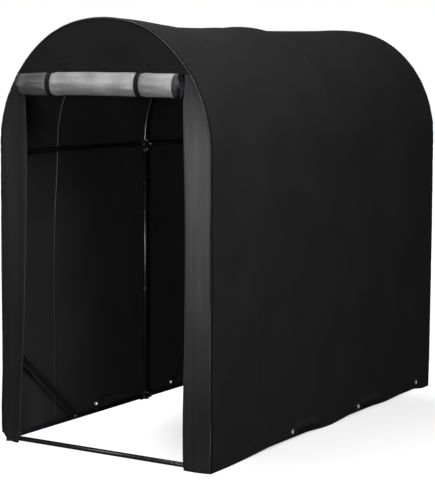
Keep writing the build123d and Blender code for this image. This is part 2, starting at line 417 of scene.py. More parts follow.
@dataclass(frozen=True)
class Webbing(Finish):
    """Ribbed black webbing."""

    colour: Colour = grey(0.0055)
    worn_colour: Colour = grey(0.0095)
    rib: float = 0.0016
    ribs_across: float = 1.6
    rib_share: float = 0.7
    rib_depth: float = 0.0004
    wear: Cloud = Cloud(60.0)
    roughness: float = 0.55
    roughness_change: float = 0.2
    specular: float = 0.06

    def paint(self, graph: Graph) -> None:
        """Ribs across the strap and a cross weave along it."""
        along, across = graph.uv()
        ribs = (along * (TAU / self.rib)).sin().to_share()
        ends = (across * (TAU / (self.rib * self.ribs_across))).sin().to_share()
        wear_and_dimming = graph.cloud(self.wear)
        graph.surface(
            Base_Color=graph.mix(wear_and_dimming, self.colour, self.worn_colour),
            Roughness=self.roughness + wear_and_dimming * self.roughness_change,
            Normal=graph.bump(ribs * self.rib_share + ends * (1 - self.rib_share), self.rib_depth),
            Specular_IOR_Level=self.specular,
        )


@dataclass(frozen=True)
class PowderCoat(Finish):
    """Glossy black powder coat on steel tube."""

    colour: Colour = (0.0066, 0.0074, 0.0096, 1.0)
    scuffed: Colour = grey(0.02)
    peel: Cloud = Cloud(900.0, 2.0)
    peel_depth: float = 0.00008
    scuffs: Cloud = Cloud(30.0, 5.0)
    scuffing: Span = (0.62, 0.74)
    roughness: float = 0.2
    scuff_roughness: float = 0.25
    specular: float = 0.45

    def paint(self, graph: Graph) -> None:
        """Orange-peel gloss with a few dull scuffs."""
        scuffs = graph.cloud(self.scuffs).step(*self.scuffing)
        graph.surface(
            Base_Color=graph.mix(scuffs, self.colour, self.scuffed),
            Roughness=self.roughness + scuffs * self.scuff_roughness,
            Normal=graph.bump(graph.cloud(self.peel), self.peel_depth),
            Specular_IOR_Level=self.specular,
        )


@dataclass(frozen=True)
class MouldedJoint(Finish):
    """Black moulded plastic with a fine spark texture."""

    colour: Colour = grey(0.008)
    handled: Colour = grey(0.016)
    grain: Cloud = Cloud(1400.0, 2.0)
    grain_depth: float = 0.00006
    patches: Cloud = Cloud(45.0, 4.0)
    roughness: float = 0.32
    roughness_change: float = 0.15
    specular: float = 0.4

    def paint(self, graph: Graph) -> None:
        """Grained, half-gloss plastic."""
        patches = graph.cloud(self.patches)
        graph.surface(
            Base_Color=graph.mix(patches, self.colour, self.handled),
            Roughness=self.roughness + patches * self.roughness_change,
            Normal=graph.bump(graph.cloud(self.grain), self.grain_depth),
            Specular_IOR_Level=self.specular,
        )


@dataclass(frozen=True)
class PlatedMetal(Finish):
    """Bright plated steel of eyelets, bolts and screws."""

    colour: Colour = grey(0.62)
    dulled: Colour = (0.36, 0.33, 0.30, 1.0)
    haze: Cloud = Cloud(120.0, 4.0)
    haze_depth: float = 0.0001
    spots: Cloud = Cloud(420.0)
    spotting: Span = (0.6, 0.72)
    roughness: float = 0.2
    roughness_change: float = 0.2
    lost_metal: float = 0.3

    def paint(self, graph: Graph) -> None:
        """Bright metal with handling haze and spots that have lost their shine."""
        haze = graph.cloud(self.haze)
        spots = graph.cloud(self.spots).step(*self.spotting)
        graph.surface(
            Base_Color=graph.mix(spots, self.colour, self.dulled),
            Roughness=self.roughness + haze * self.roughness_change + spots * self.roughness_change,
            Metallic=1.0 - spots * self.lost_metal,
            Normal=graph.bump(haze, self.haze_depth),
        )


@dataclass(frozen=True)
class Yarn(Finish):
    """Twisted sewing thread, which can be made darker below a height."""

    colour: Colour = grey(0.012)
    wear_and_dimming: float = 1.0
    dimmed_below: Span = (0.55, 1.15)
    twist: Cloud = Cloud(2600.0, 2.0)
    twist_shade: float = 0.6
    twist_depth: float = 0.0001
    roughness: float = 0.45
    roughness_change: float = 0.15
    specular: float = 0.2

    def paint(self, graph: Graph) -> None:
        """Fine twist and a slight sheen."""
        twist = graph.cloud(self.twist)
        strands = graph.mix(twist, scaled(self.colour, self.twist_shade), self.colour)
        # darker below a height; on the pale thread this dims its painted light low down
        undimmed = graph.split(graph.place())[2].step(*self.dimmed_below)
        graph.surface(
            Base_Color=graph.mix(undimmed, scaled(self.colour, self.wear_and_dimming), strands),
            Roughness=self.roughness + twist * self.roughness_change,
            Normal=graph.bump(twist, self.twist_depth),
            Specular_IOR_Level=self.specular,
        )


@dataclass(frozen=True)
class EdgeCord(Finish):
    """Covered cord piping along the front and rear edges of the cover, paler than the cloth: partly
    painted highlight.
    """

    colour: Colour = grey(0.036)
    unrubbed: float = 0.3
    rubbing: Cloud = Cloud(7.0, 4.0)
    rub_and_sheen: Span = (0.35, 0.65)
    pucker: Cloud = Cloud(140.0, 4.0)
    pucker_depth: float = 0.0009
    roughness: float = 0.36
    roughness_change: float = 0.2
    specular: float = 0.2

    def paint(self, graph: Graph) -> None:
        """Puckered cover cloth over a round cord, whose pale grey is partly painted highlight, paler in
        random places.
        """
        # pale grey colour: partly painted highlight along the piping
        pucker = graph.cloud(self.pucker)
        rub_and_sheen = graph.cloud(self.rubbing).step(*self.rub_and_sheen)
        graph.surface(
            Base_Color=graph.mix(rub_and_sheen, scaled(self.colour, self.unrubbed), self.colour),
            Roughness=self.roughness + pucker * self.roughness_change,
            Normal=graph.bump(pucker, self.pucker_depth),
            Specular_IOR_Level=self.specular,
        )


@dataclass(frozen=True)
class StudioFloor(Finish):
    """A pale floor that shows white to the camera and keeps the shadow."""

    bounce: float = 0.12
    glow: float = 1.12
    near_share: float = 0.56
    pale: float = 0.66
    fade: Span = (0.55, 1.05)
    beside: tuple[float, float, float] = (-0.62, 0.0, 0.0)
    spread: tuple[float, float, float] = (1.25, 0.95, 1.0)

    def paint(self, graph: Graph) -> None:
        """A plain floor for light, and one lifted to white for what sees it."""
        spot = graph.node("ShaderNodeMapping", None, {0: graph.place(), 1: self.beside, 3: self.spread})
        away = graph.node("ShaderNodeVectorMath", {"operation": "LENGTH"}, {0: spot}, "Value")
        share = self.near_share + away.step(*self.fade) * (1 - self.near_share)
        pale = graph.node("ShaderNodeBsdfDiffuse", None, {"Color": grey(self.pale)})
        white = graph.node("ShaderNodeEmission", None, {"Color": grey(1.0), "Strength": self.glow})
        plain = graph.node("ShaderNodeBsdfDiffuse", None, {"Color": grey(self.bounce)})
        shown = graph.blend(graph.camera_rays(), plain, graph.blend(share, pale, white))
        graph.node("ShaderNodeOutputMaterial", None, {"Surface": shown})


class Palette:
    """Every finish of the shelter, made once."""

    def __init__(self, front: float, painted_shade_band: float = 0.013) -> None:
        """Build the materials.

        Args:
            front: Station of the cover's front edge.
            painted_shade_band: How far behind it the colour carries that painted shade.
        """
        # the cover's colour carries painted shade just behind its front edge
        self.cover = CoatedCloth("cover cloth", painted_shade_to=front + painted_shade_band).build()
        # painted light: the inner face is a lighter copy of the cover cloth, brightening the interior
        self.inside = CoatedCloth("cover lining", colour=grey(0.021), faded=grey(0.026)).build()
        # painted shade: the fascia is a darker copy of the cover cloth
        self.fascia = CoatedCloth("fascia cloth", colour=grey(0.0060), faded=grey(0.0080)).build()
        self.jambs = {
            # the jambs' pale colour is painted sheen, strong on the right jamb and faint on the left
            "left": JambCloth("left jamb cloth", low=grey(0.0095), high=grey(0.0112)).build(),
            "right": JambCloth("right jamb cloth", low=grey(0.0105), high=grey(0.048)).build(),
        }
        self.lining = DoorLining("door lining").build()
        self.door_face = CoatedCloth("door outer face", colour=(0.007, 0.008, 0.012, 1.0)).build()
        self.webbing = Webbing("strap webbing").build()
        self.tube = PowderCoat("powder coat").build()
        self.joint = MouldedJoint("moulded joint").build()
        self.metal = PlatedMetal("plated metal").build()
        self.black_yarn = Yarn("black thread").build()
        # the pale thread's colour is painted light showing through the inside seam's stitching, dimmed
        # low down
        self.pale_yarn = Yarn("pale thread", colour=grey(0.42), wear_and_dimming=0.12).build()
        self.edge_cord = EdgeCord("edge piping").build()
        self.zip_coil = Yarn("zip coil", colour=grey(0.020)).build()
        self.floor = StudioFloor("studio floor").build()


# Shape helpers


def smooth_step(value: float, low: float, high: float) -> float:
    """A smooth rise from 0 at low to 1 at high."""
    share = min(1.0, max(0.0, (value - low) / (high - low)))
    return share * share * (3 - 2 * share)


def bell(value: float, width: float) -> float:
    """A smooth bump of height 1 at 0, gone by about twice the width."""
    return math.exp(-((value / width) ** 2))


def glide(stations: Stations, value: float) -> float:
    """Read a smooth curve that passes through its stations and is level beyond them.

    Args:
        stations: Places in rising order, each with its height.
        value: The place to read.

    Returns:
        The height there.
    """
    if value <= stations[0][0]:
        return stations[0][1]
    last = len(stations) - 1
    for k in range(last):
        (a, low), (b, high) = stations[k], stations[k + 1]
        if value <= b:
            gap = b - a
            before, after = stations[max(k - 1, 0)], stations[min(k + 2, last)]
            start = (high - before[1]) / (b - before[0]) * gap if k else 0.0
            end = (after[1] - low) / (after[0] - a) * gap if k + 1 < last else 0.0
            t = (value - a) / gap
            return (
                low * (2 * t**3 - 3 * t**2 + 1)
                + start * (t**3 - 2 * t**2 + t)
                + high * (3 * t**2 - 2 * t**3)
                + end * (t**3 - t**2)
            )
    return stations[last][1]


def marks(start: float, *spans: tuple[float, int]) -> list[float]:
    """Places along a line that is cut evenly over each span.

    Args:
        start: The first place.
        spans: For each span, the place where it ends and its number of cells.

    Returns:
        Every place, in order.
    """
    found = [start]
    for end, cells in spans:
        low = found[-1]
        found += [low + (end - low) * (k + 1) / cells for k in range(cells)]
    return found


def ripple(x: float, y: float, z: float, octaves: int = 3) -> float:
    """Soft noise between about -1 and 1."""
    return noise.fractal(Vector((x, y, z)), 1.0, 2.0, octaves)


@dataclass(frozen=True)
class Ramp:
    """A smooth rise from 0 at low to 1 at high."""

    low: float
    high: float

    def at(self, value: float) -> float:
        """Its height at a value."""
        return smooth_step(value, self.low, self.high)


@dataclass(frozen=True)
class Hump:
    """A smooth bump of height 1 at its middle, gone by about twice its width."""

    middle: float
    width: float

    def at(self, value: float) -> float:
        """Its height at a value."""
        return bell(value - self.middle, self.width)


@dataclass(frozen=True)
class Wrinkle:
    """Soft noise laid over cloth: its depth, its cells a metre each way, and its layer."""

    depth: float
    cells: Span
    layer: float
    octaves: int = 1

    def at(self, x: float, y: float, shift: float = 0.0, layer: float = 0.0) -> float:
        """Its height at a place, in noise that can be shifted, or taken from another layer."""
        across, along = self.cells
        spot = (x * across + shift, y * along, self.layer + layer)
        if self.octaves > 1:
            return self.depth * ripple(*spot, self.octaves)
        return self.depth * noise.noise(Vector(spot))


class Workpiece:
    """One mesh on the bench, from its first operator to the finished object."""

    def __init__(self, name: str) -> None:
        """Start an empty mesh."""
        self.name = name
        self.mesh = bmesh.new()
        self.cloth = self.mesh.loops.layers.uv.new("cloth")

    def sheet(
        self,
        alongs: Sequence[float],
        acrosses: Sequence[float],
        rule: Callable[[float, float], Vector],
        close: bool = False,
    ) -> None:
        """Add a grid of cloth and lay it out by a rule.

        Args:
            alongs: Places of the grid's lines the first way, which are its cloth coordinates too.
            acrosses: The same, the second way.
            rule: Gives the place of the point at two such values.
            close: Whether edges that meet are merged.
        """
        columns, rows = len(alongs) - 1, len(acrosses) - 1
        grid = bmesh.ops.create_grid(self.mesh, x_segments=columns, y_segments=rows, size=0.5)
        cloth = {
            v: (alongs[round((v.co.x + 0.5) * columns)], acrosses[round((v.co.y + 0.5) * rows)])
            for v in grid["verts"]
        }
        for face in {f for v in cloth for f in v.link_faces}:
            for loop in face.loops:
                loop[self.cloth].uv = cloth[loop.vert]
        for vert, (along, across) in cloth.items():
            vert.co = rule(along, across)
        if close:
            bmesh.ops.remove_doubles(self.mesh, verts=list(cloth), dist=1e-6)

    def tube(
        self,
        points: Sequence[Vector],
        radii: Callable[[int], tuple[float, float]],
        sides: int = 20,
        across: Vector | None = None,
    ) -> None:
        """Add a round or pressed tube along a line of points, with closed ends.

        Args:
            points: The middle of the tube.
            radii: Gives a point's two half sizes, the first the way of across.
            sides: Flats round it.
            across: Fixes the first way, or None where the tube is round.
        """
        rings = []
        last = len(points) - 1
        normal = across or (points[1] - points[0]).orthogonal()
        for index, point in enumerate(points):
            ahead = (points[min(index + 1, last)] - points[max(index - 1, 0)]).normalized()
            normal = (normal - ahead * normal.dot(ahead)).normalized()
            turn = Matrix((normal, ahead.cross(normal), ahead)).transposed().to_4x4()
            first, second = radii(index)
            ring = bmesh.ops.create_circle(
                self.mesh,
                cap_ends=index in (0, last),
                segments=sides,
                radius=1.0,
                matrix=Matrix.Translation(point) @ turn @ Matrix.Diagonal((first, second, 1.0, 1.0)),
            )
            rings.append(ring["verts"])
        for low, high in zip(rings, rings[1:]):
            sides_of = [pair for ring in (low, high) for pair in zip(ring, ring[1:] + ring[:1])]
            edges = [self.mesh.edges.get(pair) for pair in sides_of]
            bmesh.ops.bridge_loops(self.mesh, edges=edges)

    def lathe(self, profile: Stations, matrix: Matrix, steps: int = 24) -> None:
        """Spin a closed profile about its axis.

        Args:
            profile: Radius and height of each corner, from the axis round to the axis again.
            matrix: Places the spun shape, whose axis is Z.
            steps: Flats round it.
        """
        verts = [self.mesh.verts.new((radius, 0.0, height)) for radius, height in profile]
        edges = [self.mesh.edges.new(pair) for pair in zip(verts, verts[1:])]
        before = set(self.mesh.verts) - set(verts)
        bmesh.ops.spin(
            self.mesh,
            geom=verts + edges,
            cent=(0, 0, 0),
            axis=(0, 0, 1),
            angle=TAU,
            steps=steps,
            use_merge=True,
        )
        made = [v for v in self.mesh.verts if v not in before]
        bmesh.ops.remove_doubles(self.mesh, verts=made, dist=1e-6)
        made = [v for v in self.mesh.verts if v not in before]
        # the pale inside thread carries painted light along the seam
        bmesh.ops.transform(self.mesh, matrix=matrix, verts=made)

    def beads(self, spots: Iterable[tuple[Vector, Vector, Vector, tuple[float, float, float]]]) -> None:
        """Add small oval beads, such as stitches.

        Args:
            spots: For each bead, its middle, the way it runs, the way it stands out, and its
                half sizes along, across and out.
        """
        for middle, run, out, half in spots:
            run = run.normalized()
            out = (out - run * out.dot(run)).normalized()
            turn = Matrix((run, out.cross(run), out)).transposed().to_4x4()
            bmesh.ops.create_icosphere(
                self.mesh,
                subdivisions=1,
                radius=1.0,
                matrix=Matrix.Translation(middle) @ turn @ Matrix.Diagonal((*half, 1.0)),
            )

    def stitch_line(
        self,
        places: Sequence[Vector],
        outs: Sequence[Vector],
        pitch: float,
        half: tuple[float, float, float],
    ) -> None:
        """Lay stitches at a steady pitch along a line.

        Args:
            places: Points of the line.
            outs: The way that the cloth faces at each.
            pitch: Distance from stitch to stitch.
            half: Half sizes of a stitch along, across and out.
        """
        spots = []
        travelled, due = 0.0, 0.0
        for a, b, out in zip(places, places[1:], outs):
            step = (b - a).length
            while step > 0 and due <= travelled + step:
                spots.append((a.lerp(b, (due - travelled) / step), b - a, out, half))
                due += pitch
            travelled += step
        self.beads(spots)

    def lay_uv(self) -> None:
        """Give an end panel's faces cloth coordinates from their places."""
        for face in self.mesh.faces:
            for loop in face.loops:
                loop[self.cloth].uv = (loop.vert.co.z, loop.vert.co.x)

    def face_towards(self, outward: Callable[[Vector], Vector]) -> None:
        """Turn every face over if, taken together, they face against a rule."""
        self.mesh.normal_update()
        total = sum(f.normal.dot(outward(f.calc_center_median())) for f in self.mesh.faces)
        if total < 0:
            bmesh.ops.reverse_faces(self.mesh, faces=self.mesh.faces[:])

    def finish(
        self,
        materials: Sequence[bpy.types.Material],
        thickness: float = 0.0,
        smooth: bool = True,
        solid: bool = True,
    ) -> bpy.types.Object:
        """Turn the mesh into an object that rides on the frame.

        Args:
            materials: Its material slots.
            thickness: Cloth thickness added inwards, or 0.
            smooth: Whether it is shaded smooth.
            solid: Whether it is made of closed forms, whose faces are turned outwards here.

        Returns:
            The finished object.
        """
        if solid:
            bmesh.ops.recalc_face_normals(self.mesh, faces=self.mesh.faces[:])
        data = bpy.data.meshes.new(self.name)
        self.mesh.to_mesh(data)
        self.mesh.free()
        for material in materials:
            data.materials.append(material)
        data.polygons.foreach_set("use_smooth", [smooth] * len(data.polygons))
        made = bpy.data.objects.new(self.name, data)
        bpy.context.scene.collection.objects.link(made)
        if thickness:
            wall = made.modifiers.new("cloth thickness", "SOLIDIFY")
            wall.thickness = thickness
            wall.offset = -1.0
            wall.use_even_offset = True
            wall.material_offset = len(materials) - 1
            wall.material_offset_rim = len(materials) - 1
        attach(made, "root")
        LOG.info("%s: %d faces", self.name, len(data.polygons))
        return made

    def cover(self, materials: Sequence[bpy.types.Material], thickness: float) -> bpy.types.Object:
        """Finish an open sheet of the cover, the last material being its inner face."""
        return self.finish(materials, thickness, solid=False)


def aimed(place: Vector, way: Vector) -> Matrix:
    """A matrix that puts a lathed shape at a place with its axis along a way."""
    return Matrix.Translation(place) @ way.to_track_quat("Z", "Y").to_matrix().to_4x4()


# The shelter's own form


@dataclass(frozen=True)
class Form:
    """Leading sizes of the shelter, read from the frame."""

    half: float
    spring: float
    crown: float
    front: float
    rear: float
    hoops: dict[str, float]
    leg_x: float
    tube: float
    floor_rail: float
    shoulder: float
    middle_drop: float
    opening: float
    drawn_back: float
    lintel: float
    roll_middle: Vector
    roll_depth: float
    roll_height: float
    roll_half: float
    straps: dict[str, float]
    strap_top: float
    eyelets: tuple[tuple[float, float], ...]
    eyelet_x: float

    @classmethod
    def read(cls, standoff: float = 0.0275, drawn_back: float = 0.046) -> "Form":
        """Measure the frame's nodes.

        Args:
            standoff: How far the roll's middle hangs before the front face.
            drawn_back: How far the left jamb's foot is drawn aside.

        Returns:
            The sizes.
        """
        leg_low, leg_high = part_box("right_front_leg")
        jamb_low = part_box("front_right_jamb")[0]
        fascia_low, fascia_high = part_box("front_fascia")
        roll_low, roll_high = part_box("door_roll")
        straps = {side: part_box(f"{side}_door_strap") for side in SIDES}
        eyelets = cls._eyelet_middles()
        front = fascia_low.y
        roll_height = (roll_high.z - roll_low.z) / 2
        return cls(
            half=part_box("right_wall")[1].x,
            spring=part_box("right_wall")[1].z,
            crown=fascia_high.z,
            front=front,
            rear=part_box("rear_wall")[1].y,
            hoops={hoop: cls._middle(f"left_{hoop}_leg").y for hoop in ("front", "middle", "rear")},
            leg_x=cls._middle("right_front_leg").x,
            tube=(leg_high.x - leg_low.x) / 2,
            floor_rail=cls._middle("left_front_floor_rail").z,
            shoulder=cls._middle("left_front_side_rail").z,
            middle_drop=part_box("front_arch")[1].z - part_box("middle_arch")[1].z,
            opening=jamb_low.x,
            drawn_back=drawn_back,
            lintel=fascia_low.z,
            roll_middle=Vector((0.0, front - standoff, (roll_low.z + roll_high.z) / 2)),
            roll_depth=front - standoff - roll_low.y,
            roll_height=roll_height,
            roll_half=roll_high.x,
            straps={side: (low.x + high.x) / 2 for side, (low, high) in straps.items()},
            strap_top=straps["left"][1].z,
            eyelets=eyelets,
            eyelet_x=cls._middle("right_eyelets").x,
        )

    @staticmethod
    def _middle(node: str) -> Vector:
        """The middle of a node's box."""
        low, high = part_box(node)
        return (low + high) / 2

    @staticmethod
    def _eyelet_middles() -> tuple[tuple[float, float], ...]:
        """Station and height of each eyelet of one wall, from its bore mounts."""
        mounts = frame["record"]["mounts"]
        found = [m["pos_m"] for m in mounts if m["kind"] == "bore" and m["name"].startswith("right")]
        return tuple(sorted((spot[1], spot[2]) for spot in found))

    @property
    def rise(self) -> float:
        """Height of the arch above the spring line."""
        return self.crown - self.spring

    @property
    def roof_length(self) -> float:
        """Length of cloth over the roof from spring to spring."""
        a, b = self.half, self.rise
        return math.pi * (3 * (a + b) - math.sqrt((3 * a + b) * (a + 3 * b))) / 2

    @property
    def girth(self) -> float:
        """Length of cloth from the ground on the left over the roof to the ground on the right."""
        return 2 * self.spring + self.roof_length

    def outline(self, z: float, inset: float = 0.0) -> float:
        """Half width of an end of the shelter at a height, a little inside its edge."""
        if z <= self.spring:
            return self.half - inset
        share = min(1.0, (z - self.spring) / (self.rise - inset))
        return (self.half - inset) * math.sqrt(max(0.0, 1 - share * share))


@dataclass(frozen=True)
class Drape:
    """How the cover's cloth departs from its plain form.

    Stations are behind the front, and a girth distance runs up from the ground.
    """

    form: Form
    edge_round: float = 0.0055
    haunch: Span = (0.0004, -0.0045)
    undulation: Wrinkle = Wrinkle(0.0019, (1.7, 2.3), 3.1, 3)
    streak: Wrinkle = Wrinkle(0.0006, (1.1, 11.0), 7.7)
    streak_at_hoops: float = 0.25
    slack_at_ends: float = 0.35
    fan: float = 0.0005
    fan_folds: int = 7
    fan_phase: float = 5.0
    fan_fade: float = 0.2
    fan_start: Ramp = Ramp(0.02, 0.12)
    pull: float = 0.0012
    pull_folds: int = 5
    pull_fade: float = 0.15
    pull_from: float = 0.004
    pull_start: Ramp = Ramp(0.014, 0.05)
    fold_reach: float = 0.6
    ridge: float = 0.0058
    ridge_width: float = 0.017
    ridge_rise: Ramp = Ramp(0.12, 0.42)
    corner_lift: float = 0.032
    corner_width: float = 0.055
    shoulder_dip: float = 0.0092
    shoulder_place: Hump = Hump(0.24, 0.19)
    dip_at_hoops: float = 0.3
    crown_swell: float = 0.0035
    crown_place: Hump = Hump(0.56, 0.12)
    bow: float = 0.0022
    bow_rise: Ramp = Ramp(0.02, 0.20)
    bow_fall: Ramp = Ramp(0.7, 1.15)
    pucker: float = 0.0016
    pucker_zone: float = 0.12
    pucker_fade: float = 0.020
    pucker_least: float = 0.35
    pucker_place: Hump = Hump(0.06, 0.22)
    coarse_pucker: Wrinkle = Wrinkle(1.0, (34.0, 6.0), 1.7)
    fine_pucker: Wrinkle = Wrinkle(0.5, (80.0, 0.0), 4.2)
    flare: float = 0.009
    flare_reach: float = 0.16
    flare_place: Hump = Hump(0.10, 0.13)
    flare_right: float = 0.45
    hem_top: float = 0.6
    hem_tuck: float = 0.0056
    hem_tuck_fade: Ramp = Ramp(0.004, 0.022)
    hem_bulge: float = 0.0095
    hem_bulge_place: Hump = Hump(0.036, 0.018)
    hem_runs: tuple[float, ...] = (0.30, 0.30, 0.05)
    hem_run_start: Ramp = Ramp(0.01, 0.06)
    welt: float = 0.0018
    welt_width: float = 0.006
    hem_fold: float = 0.044
    hem_thickness: float = 0.0010
    hem_fold_edge: float = 0.004
    seam_behind_front: float = 0.345
    seam_half_width: float = 0.0065
    seam_height: float = 0.0004
    seam_edge: float = 0.003
    seam_sway: float = 0.024
    sway_reach: float = 0.11
    sway_height: float = 0.26
    roof_drop: Stations = (
        (0.030, 0.0),
        (0.12, 0.0025),
        (0.22, 0.0095),
        (0.32, 0.0175),
        (0.43, 0.0240),
        (0.56, 0.0250),
        (0.70, 0.0225),
        (0.82, 0.0175),
        (0.92, 0.0160),
        (1.00, 0.0145),
        (1.09, 0.0180),
        (1.20, 0.0200),
        (1.39, 0.0160),
        (1.59, 0.0115),
        (1.78, 0.0060),
        (1.97, 0.0),
    )
    hem_lift: Stations = (
        (0.10, 0.0),
        (0.60, 0.017),
        (0.96, 0.003),
        (1.20, 0.015),
        (1.48, 0.008),
        (1.80, 0.015),
        (1.94, 0.0),
    )

    def slack(self, y: float) -> float:
        """0 on a hoop and 1 halfway between two."""
        stops = sorted(self.form.hoops.values())
        for low, high in zip(stops, stops[1:]):
            if low <= y <= high:
                return math.sin(math.pi * (y - low) / (high - low))
        return 0.0

    def hem(self, y: float) -> float:
        """Height of the hem's lower edge above the ground."""
        return max(0.0, glide(self.hem_lift, y - self.form.front))

    def from_ground(self, s: float) -> float:
        """Girth distance from the nearer side's ground line."""
        return min(s, self.form.girth - s)

    def base(self, s: float, y: float) -> tuple[Vector, Vector]:
        """The smooth cover at a girth distance and station.

        Args:
            s: Cloth distance from the ground at the left, over the roof.
            y: Station from front to rear.

        Returns:
            The point and the outward direction there.
        """
        form = self.form
        height = self.from_ground(s)
        side = LEFT if s < form.girth / 2 else RIGHT
        if height < form.spring:
            lift = self.corner_lift * bell(y - form.front, self.corner_width) if side == LEFT else 0.0
            floor = self.hem(y) + lift
            z = floor + (form.spring - floor) * (height / form.spring)
            return Vector((side * form.half, y, z)), Vector((side, 0, 0))
        turn = math.pi * (s - form.spring) / form.roof_length
        rise = form.rise - glide(self.roof_drop, y - form.front)
        out = Vector((-rise * math.cos(turn), 0, form.half * math.sin(turn))).normalized()
        point = Vector((-form.half * math.cos(turn), y, form.spring + rise * math.sin(turn)))
        near, far = self.haunch
        flat = near + (far - near) * smooth_step(y, form.front, form.rear)
        return point - out * flat * math.sin(2 * turn) ** 2, out

    def sway(self, s: float, y: float) -> float:
        """How far the lapped seam strays to the rear at shoulder height."""
        near = bell(y - self.form.front - self.seam_behind_front, self.sway_reach)
        return self.seam_sway * bell(self.from_ground(s) - self.form.spring, self.sway_height) * near

    def shoulders(self, s: float, y: float) -> float:
        """Fans of shallow folds that run out from the shoulders of each hoop."""
        form = self.form
        total = 0.0
        for shoulder in (form.shoulder, form.girth - form.shoulder):
            for hoop in form.hoops.values():
                ds, dy = s - shoulder, y - hoop
                reach = math.hypot(ds, dy)
                if reach < self.fold_reach:
                    phase = hoop * self.fan_phase + shoulder
                    wave = math.sin(math.atan2(ds, dy) * self.fan_folds + phase)
                    total += wave * math.exp(-reach / self.fan_fade) * self.fan_start.at(reach)
        return self.fan * total

    def hem_shape(self, y: float, point: Vector) -> float:
        """Pulls that run up from the eyelets, and the tuck of the hem behind each."""
        total = 0.0
        depth = point.z - self.hem(y)
        for (eye_y, eye_z), run in zip(self.form.eyelets, self.hem_runs):
            dy, dz = y - eye_y, point.z - eye_z
            reach = math.hypot(dy, dz)
            if reach < self.fold_reach:
                angle = math.atan2(dy, max(dz, self.pull_from))
                fade = math.exp(-reach / self.pull_fade) * self.pull_start.at(reach)
                total += self.pull * math.cos(angle * self.pull_folds) * fade
            tucked = self.hem_run_start.at(dy) * (1 - smooth_step(dy, run / 2, run))
            total -= self.hem_tuck * tucked * (1 - self.hem_tuck_fade.at(depth))
            total += self.hem_bulge * tucked * self.hem_bulge_place.at(depth)
        return total

    def settling(self, s: float, point: Vector) -> float:
        """Where the cloth lies in at the shoulders, and out over the haunches and low on the walls."""
        above = self.from_ground(s) - self.form.spring
        loose = self.dip_at_hoops + (1 - self.dip_at_hoops) * self.slack(point.y)
        swell = self.crown_swell * self.crown_place.at(above)
        dip = loose * self.shoulder_dip * self.shoulder_place.at(above)
        low = self.bow_rise.at(point.z) * (1 - self.bow_fall.at(point.z))
        return swell - dip + self.bow * low

    def arch_ridge(self, s: float, y: float) -> float:
        """The line where the roof bends over the middle arch."""
        above = self.ridge_rise.at(self.from_ground(s) - self.form.spring)
        return self.ridge * above * bell(y - self.form.hoops["middle"], self.ridge_width)

    def edge_puckers(self, s: float, y: float) -> float:
        """Short puckers that the corded seams draw into both ends of the cover."""
        form = self.form
        near = min(y - form.front, form.rear - y)
        if near > self.pucker_zone:
            return 0.0
        strong = self.pucker_least + self.pucker_place.at(self.from_ground(s) - form.spring)
        wave = self.coarse_pucker.at(s, near) + self.fine_pucker.at(s, near)
        return self.pucker * strong * wave * math.exp(-near / self.pucker_fade)

    def wrinkles(self, s: float, y: float, loose: float) -> float:
        """Soft waves and long streaks, stronger where the cloth is loose."""
        share = self.streak_at_hoops + (1 - self.streak_at_hoops) * loose
        return loose * self.undulation.at(s, y) + share * self.streak.at(s, y)

    def push(self, s: float, y: float, point: Vector) -> float:
        """How far the cloth stands out from its smooth form."""
        form = self.form
        loose = self.slack(y)
        if point.z < form.spring:
            between = math.sin(math.pi * min(1.0, max(0.0, point.z / form.shoulder)))
            loose *= self.slack_at_ends + (1 - self.slack_at_ends) * between
        total = self.wrinkles(s, y, loose)
        total += self.shoulders(s, y) + self.arch_ridge(s, y) + self.edge_puckers(s, y)
        total += self.settling(s, point)
        total += self.welt * bell(y - form.front - self.edge_round, self.welt_width)
        if point.z < self.hem_top:
            total += self.hem_shape(y, point)
            corner = bell(y - form.front, self.flare_reach) * self.flare_place.at(point.z)
            total += self.flare * corner * (1.0 if s < form.girth / 2 else self.flare_right)
        return total

    def laps(self, y: float, point: Vector) -> float:
        """Extra thickness of the lapped seam behind the front and of the turned-up hem."""
        away = abs(y - self.form.front - self.seam_behind_front)
        end = self.seam_half_width + self.seam_edge
        seam = self.seam_height * (1 - smooth_step(away, self.seam_half_width, end))
        depth = point.z - self.hem(y)
        turned = 1 - smooth_step(depth, self.hem_fold, self.hem_fold + self.hem_fold_edge)
        return seam + self.hem_thickness * turned

    def edge(self, y: float) -> float:
        """How far the cover turns in at its front and rear edges."""
        near = min(y - self.form.front, self.form.rear - y)
        if near >= self.edge_round:
            return 0.0
        rounding = self.edge_round
        return rounding - math.sqrt(max(0.0, rounding**2 - (rounding - near) ** 2))

    def place(self, s: float, y: float, above: float = 0.0) -> Vector:
        """The cover's outer face, or a point so far above it."""
        y += self.sway(s, y)
        point, out = self.base(s, y)
        proud = self.push(s, y, point) + self.laps(y, point) - self.edge(y)
        return point + out * (proud + above)


# Sub-assemblies


